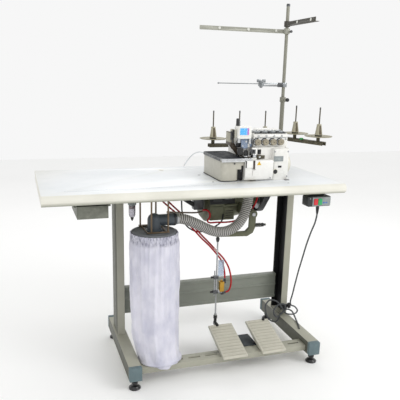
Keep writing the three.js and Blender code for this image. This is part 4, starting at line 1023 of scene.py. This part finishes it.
POST_X = {"left": -274.7, "right": 516.6}
FOOT_Y = {"front": -243.6, "rear": 217.6}


def make_feet():
    profile = [(0, 21), (0.4, 23.4), (1.6, 24), (5, 24), (6.4, 23), (8.6, 19), (12.4, 16.6), (14.6, 10.6),
        (16, 9), (21.4, 9), (22, 12.6), (23, 13.2), (29, 13.2), (30, 12.6), (30.4, 6.4), (41, 6.2)]
    corners = [(side, end) for side in POST_X for end in FOOT_Y]
    for side, end in corners:
        name, x, y = f"{side}_{end}_foot", POST_X[side], FOOT_Y[end]
        foot = turned(f"{name}_pad", "z", (x, y, 0), profile, "gloss_black", 56)
        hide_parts(name)
        turned(f"{name}_nut", "z", (x, y, 23), [(0, 11), (0.8, 12), (5.4, 12), (6.2, 11)], "dark_steel", 6)


# ---- treadle rod, pedals, motor and air line ----
ROD = {"x": 134, "y": -42, "low": 152, "high": 534}


def coil_spring(name, centre, radius, wire, pitch, turns, material, body):
    """A spring along x, 16 points a turn."""
    x, y, z = centre
    route = []
    for i in range(turns * 16 + 1):
        angle = 2 * math.pi * i / 16
        route.append((x + pitch * i / 16, y + radius * math.cos(angle), z + radius * math.sin(angle)))
    strand(name, route, wire, material, body, 2)


def make_treadle():
    x, y, low, high = ROD["x"], ROD["y"], ROD["low"], ROD["high"]
    body = "treadle_rod"
    turned("rod_ball", "z", (x, y, high - 14), [(0, 4), (1, 6), (4, 6.4), (8, 7.6), (12, 8.4), (16, 8.2),
        (20, 6), (22, 3)], "gloss_black", 40, body)
    turned("rod_clevis", "z", (x, y, low - 4.4), [(0, 5), (0.6, 6.6), (15, 6.8), (16, 8.4), (28, 8.6),
        (29, 7), (31, 4.4)], "gloss_black", 40, body)
    turned("rod_nut", "z", (x, y, low + 26), [(0, 6), (0.5, 6.8), (5, 6.8), (5.6, 6)], "steel", 6, body)
    for number, z in enumerate((352, 284), 1):
        block(f"rod_clamp_{number}", (x - 15.6, y - 7.6, z - 0.5), (x + 7.6, y + 7.6, z + 13.5),
            "dark_steel", 1.6, body)
        turned(f"rod_knob_{number}", "x", (x - 27, y, z + 6.5), [(0, 3.4), (0.8, 5.2), (7, 5.6), (8.4, 4.6),
            (12, 3.2)], "gloss_black", 28, body)
    block("valve_block", (x + 13.6, y - 9.6, 289.5), (x + 34.6, y + 9.6, 336.6), "brass", 2, body)
    turned("valve_plunger", "z", (x + 24, y, 336), [(0, 5), (1, 5.6), (6, 5.6), (7, 4)], "brass", 30, body)
    block("elbow_upper", (x + 29.6, y - 6.6, 325.6), (x + 44.6, y + 6.6, 339), "gloss_black", 3, body)
    turned("elbow_upper_neck", "z", (x + 39, y, 338), [(0, 5), (1, 5.6), (9, 5.6), (11, 4.6)],
        "gloss_black", 30, body)
    block("elbow_lower", (x + 19.6, y - 6.6, 273.6), (x + 36.6, y + 6.6, 291.4), "gloss_black", 3, body)
    turned("elbow_lower_neck", "x", (x + 36, y, 282.5), [(0, 5.6), (1, 5.8), (7, 5.6), (8.6, 4.6)],
        "gloss_black", 30, body)
    block("valve_pouch", (x + 6, y - 1.2, 362), (x + 33, y + 1.0, 436), "pouch", 0.9, body)
    turned("tube_tie", "z", (x, y, 478), [(0, 4.4), (0.4, 5.4), (3.4, 5.4), (3.8, 4.4)], "tie", 24, body)
    tail = [(x - 4, y - 3, 480), (x - 12, y - 8, 486), (x - 19, y - 10, 496)]
    strand("tie_tail", tail, 1.6, "tie", body, 6)


PEDAL_PIVOT_Y, PEDAL_PIVOT_Z = -200, 90
PEDAL_TILT = Matrix.Rotation(math.radians(15.5), 3, "X")
GROOVE_HALF_WIDTH, GROOVE_PITCH, FIRST_GROOVE = 49, 18, -52
TREAD_TOP = 12.1


def on_pedal(along, up):
    """The y and z of a point on the tilted pedals, measured along and up from their pivot."""
    spot = PEDAL_TILT @ Vector((0, along, up))
    return PEDAL_PIVOT_Y + spot.y, PEDAL_PIVOT_Z + spot.z


def make_pedal_details():
    for side, x, bolt_x in (("left", 150, 134), ("right", 328, 358)):
        body = f"{side}_pedal"
        for number, cap_x in enumerate((x - 37, x + 31), 1):
            turned(f"{side}_pedal_cap_{number}", "x", (cap_x, PEDAL_PIVOT_Y, PEDAL_PIVOT_Z),
                [(0, 4.4), (0.6, 5.6), (5.4, 5.6), (6, 4.4)], "dark_steel", 30, body)
        y, z = on_pedal(140, 14)
        turned(f"{side}_pedal_bolt", "z", (bolt_x, y, z - 3), [(0, 6), (0.6, 7), (7, 7), (8, 6), (8.4, 3),
            (12, 3)], "gloss_black", 30, body)
        left, right = x - GROOVE_HALF_WIDTH, x + GROOVE_HALF_WIDTH
        for i in range(11):
            y, z = on_pedal(FIRST_GROOVE + GROOVE_PITCH * i, TREAD_TOP)
            block(f"{side}_pedal_groove_{i + 1}", (left, y - 1.4, z - 0.5), (right, y + 1.4, z + 0.5),
                "groove", 0.4, body, PEDAL_TILT)
    block("rod_lug", (127, -62, 131), (141, -34, 145.6), "gloss_black", 2, "left_pedal")
    block("bar_plate", (208, -172, 74.8), (286, -66, 78.0), "navy", 1)
    for number, x in enumerate((218, 276), 1):
        turned(f"plate_bolt_{number}", "z", (x, -160, 78), [(0, 6), (0.6, 6.8), (4, 6.8), (4.6, 6)],
            "gloss_black", 6)


# Low end, high end and thickness (mm) of the dark sheets that paint shade inside the posts' channels.
PAINTED_SHADE_LOW, PAINTED_SHADE_HIGH, PAINTED_SHADE_THICK = 104, 747, 1.2


def make_post_painted_shade():
    """Painted shade: dark sheets inside each post's channel, which opens towards the middle of the table."""
    for side, outward in (("left", -1), ("right", 1)):
        web, mouth = POST_X[side] + outward * 12.2, POST_X[side] - outward * 15.6
        low_x, high_x = sorted((web, web - outward * PAINTED_SHADE_THICK))
        block(f"{side}_post_web_painted_shade", (low_x, 43.6, PAINTED_SHADE_LOW), (high_x, 143.4, PAINTED_SHADE_HIGH), "void", 0.3)
        low_x, high_x = sorted((web, mouth))
        for name, y in (("front", 43.4), ("rear", 142.4)):
            block(f"{side}_post_{name}_painted_shade", (low_x, y, PAINTED_SHADE_LOW),
                (high_x, y + PAINTED_SHADE_THICK, PAINTED_SHADE_HIGH), "void", 0.3)


def make_under_table():
    """The motor's bolts, fan guard and wiring, the lever's spring and the filter's bowl."""
    for number in range(6):
        angle = math.radians(60 * number + 15)
        turned(f"motor_bolt_{number + 1}", "x", (130, 165 + 60 * math.cos(angle),
            650 + 62 * math.sin(angle)), [(0, 4), (0.6, 4.6), (4, 4.6), (4.6, 4)], "steel", 6)
    # A dark sheet behind the motor's switch box and relay: painted shade.
    block("motor_painted_shade_panel", (127.6, 52.6, 663), (246.4, 55.4, 717.4), "void", 1)
    block("motor_rail", (122, 58, 722), (262, 98, 757), "guard", 2)
    block("motor_switch_box", (140, 46, 676), (182, 54, 712), "guard", 2)
    block("motor_relay", (196, 48, 684), (230, 54, 716), "dark_steel", 1.4)
    block("motor_shelf", (198, 45, 655), (258, 55.4, 661), "motor", 1.4)
    block("motor_cover", (134, 51, 596), (190, 55.4, 652), "motor", 1.6)
    block("motor_cover_right", (196, 51, 592), (242, 55.4, 648), "motor", 1.6)
    # The dark vent slots on the motor's right cover are painted shade.
    for i in range(4):
        block(f"motor_vent_{i + 1}", (201, 49.8, 600 + 10 * i), (237, 51.6, 603 + 10 * i), "void", 0.6)
    block("motor_bracket", (66, 92, 632), (112, 128, 702), "dark_steel", 5)
    block("motor_bracket_arm", (74, 96, 696), (128, 124, 757), "guard", 3)
    strand("motor_damper", [(6, 84, 696), (30, 92, 680), (72, 104, 652)], 20, "rubber", "frame", 4)
    stay = [(-117, -132, 688), (-20, -40, 658), (90, 92, 622), (122, 118, 622)]
    strand("hanger_stay", stay, 7, "hanger", "frame", 6)
    coil_spring("lever_spring", (302, -42, 584), 8.4, 1.8, 3.6, 9, "dark_steel", "clutch_lever")
    turned("spring_knob", "x", (336, -42, 584), [(0, 6), (1, 8), (8, 8.4), (10, 7), (11, 5.4), (20, 4.6)],
        "gloss_black", 36, "clutch_lever")
    turned("lever_nut", "y", (292, -58, 636), [(0, 6.6), (0.8, 8.6), (4, 8.6)], "steel", 6)
    bowl = turned("filter_glass", "z", (-231, 0, 640), [(0, 5), (1.4, 8), (5, 11.4), (12, 13.6), (22, 14),
        (54, 14)], "bowl", 56)
    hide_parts("air_filter")
    turned("filter_core", "z", (-231, 0, 676), [(0, 5), (1, 8.6), (12, 9.2), (15, 7), (17, 5)], "amber", 40)
    turned("filter_tip", "z", (-231, 0, 626), [(0, 2.4), (4, 4), (6, 5.6), (13, 7), (14.6, 6)],
        "gloss_black", 36)
    turned("filter_head", "z", (-231, 0, 693), [(0, 15.4), (1, 17), (8, 17.2), (10, 16), (30, 16), (34, 15),
        (35, 10)], "switch_plate", 48)
    block("filter_bracket", (-235.5, -12.5, 724), (-226.5, 12.5, 757), "dark_steel", 1.4)
    block("filter_bracket_foot", (-242, -14, 755.8), (-220, 14, 759.6), "dark_steel", 1)
    red, points = strand("motor_air_loop", MOTOR_LOOP_ROUTE, 7.5, "tube_red", "frame")
    wire, points = strand("motor_wire", MOTOR_WIRE_ROUTE, 6.5, "rubber", "frame")
    block("cable_strap", (500, 37, 126), (534, 43, 152), "rubber", 2)
    block("cable_knot", (532, 24, 134), (548, 40, 160), "rubber", 5)


# ---- stage ----
def area_light(name, where, target, size, power):
    data = bpy.data.lights.new(name, "AREA")
    data.shape = "RECTANGLE"
    data.size, data.size_y = size
    data.energy = power
    lamp = bpy.data.objects.new(name, data)
    bpy.context.scene.collection.objects.link(lamp)
    lamp.location = where
    lamp.rotation_mode = "QUATERNION"
    lamp.rotation_quaternion = (Vector(target) - Vector(where)).to_track_quat("-Z", "Y")


def make_stage():
    working = bmesh.new()
    bmesh.ops.create_grid(working, x_segments=2, y_segments=2, size=6)
    mesh = bpy.data.meshes.new("floor")
    working.to_mesh(mesh)
    working.free()
    ground = bpy.data.objects.new("floor", mesh)
    bpy.context.scene.collection.objects.link(ground)
    ground.location.z = -0.0005
    mesh.materials.append(finish("floor_paint", "fbfbfa", 0.8, 0, 60, 100, 0.01, 1))
    world = bpy.data.worlds.new("studio")
    world.use_nodes = True
    tree = world.node_tree
    direction = tree.nodes.new("ShaderNodeTexCoord")
    split = tree.nodes.new("ShaderNodeSeparateXYZ")
    fall = tree.nodes.new("ShaderNodeMapRange")
    fall.inputs["From Min"].default_value = -0.85
    fall.inputs["From Max"].default_value = -0.35
    fall.inputs["To Min"].default_value = 0.74
    fall.inputs["To Max"].default_value = 0.93
    tree.links.new(direction.outputs["Generated"], split.inputs[0])
    tree.links.new(split.outputs["X"], fall.inputs["Value"])
    tree.links.new(fall.outputs["Result"], tree.nodes["Background"].inputs["Strength"])
    tree.nodes["Background"].inputs["Color"].default_value = (1, 1, 1, 1)
    bpy.context.scene.world = world
    bpy.context.scene.view_settings.view_transform = "Standard"
    area_light("key", (2.3, -2.3, 2.7), (0.05, 0, 0.6), (1.4, 1.2), 34)
    area_light("fill", (-1.9, -2.4, 2.4), (0.1, 0, 0.7), (1.6, 1.6), 7)
    area_light("back", (0.6, 2.4, 2.6), (0, 0, 0.9), (2.2, 1.2), 14)


# ---- assembly ----
make_camera()
make_materials()
make_cords()
dress_nodes()
make_bag_top()
make_bag()
make_spool_seats()
make_stand_details()
make_head()
make_table_details()
make_switch_details()
make_feet()
make_treadle()
make_pedal_details()
make_post_painted_shade()
make_under_table()
make_stage()
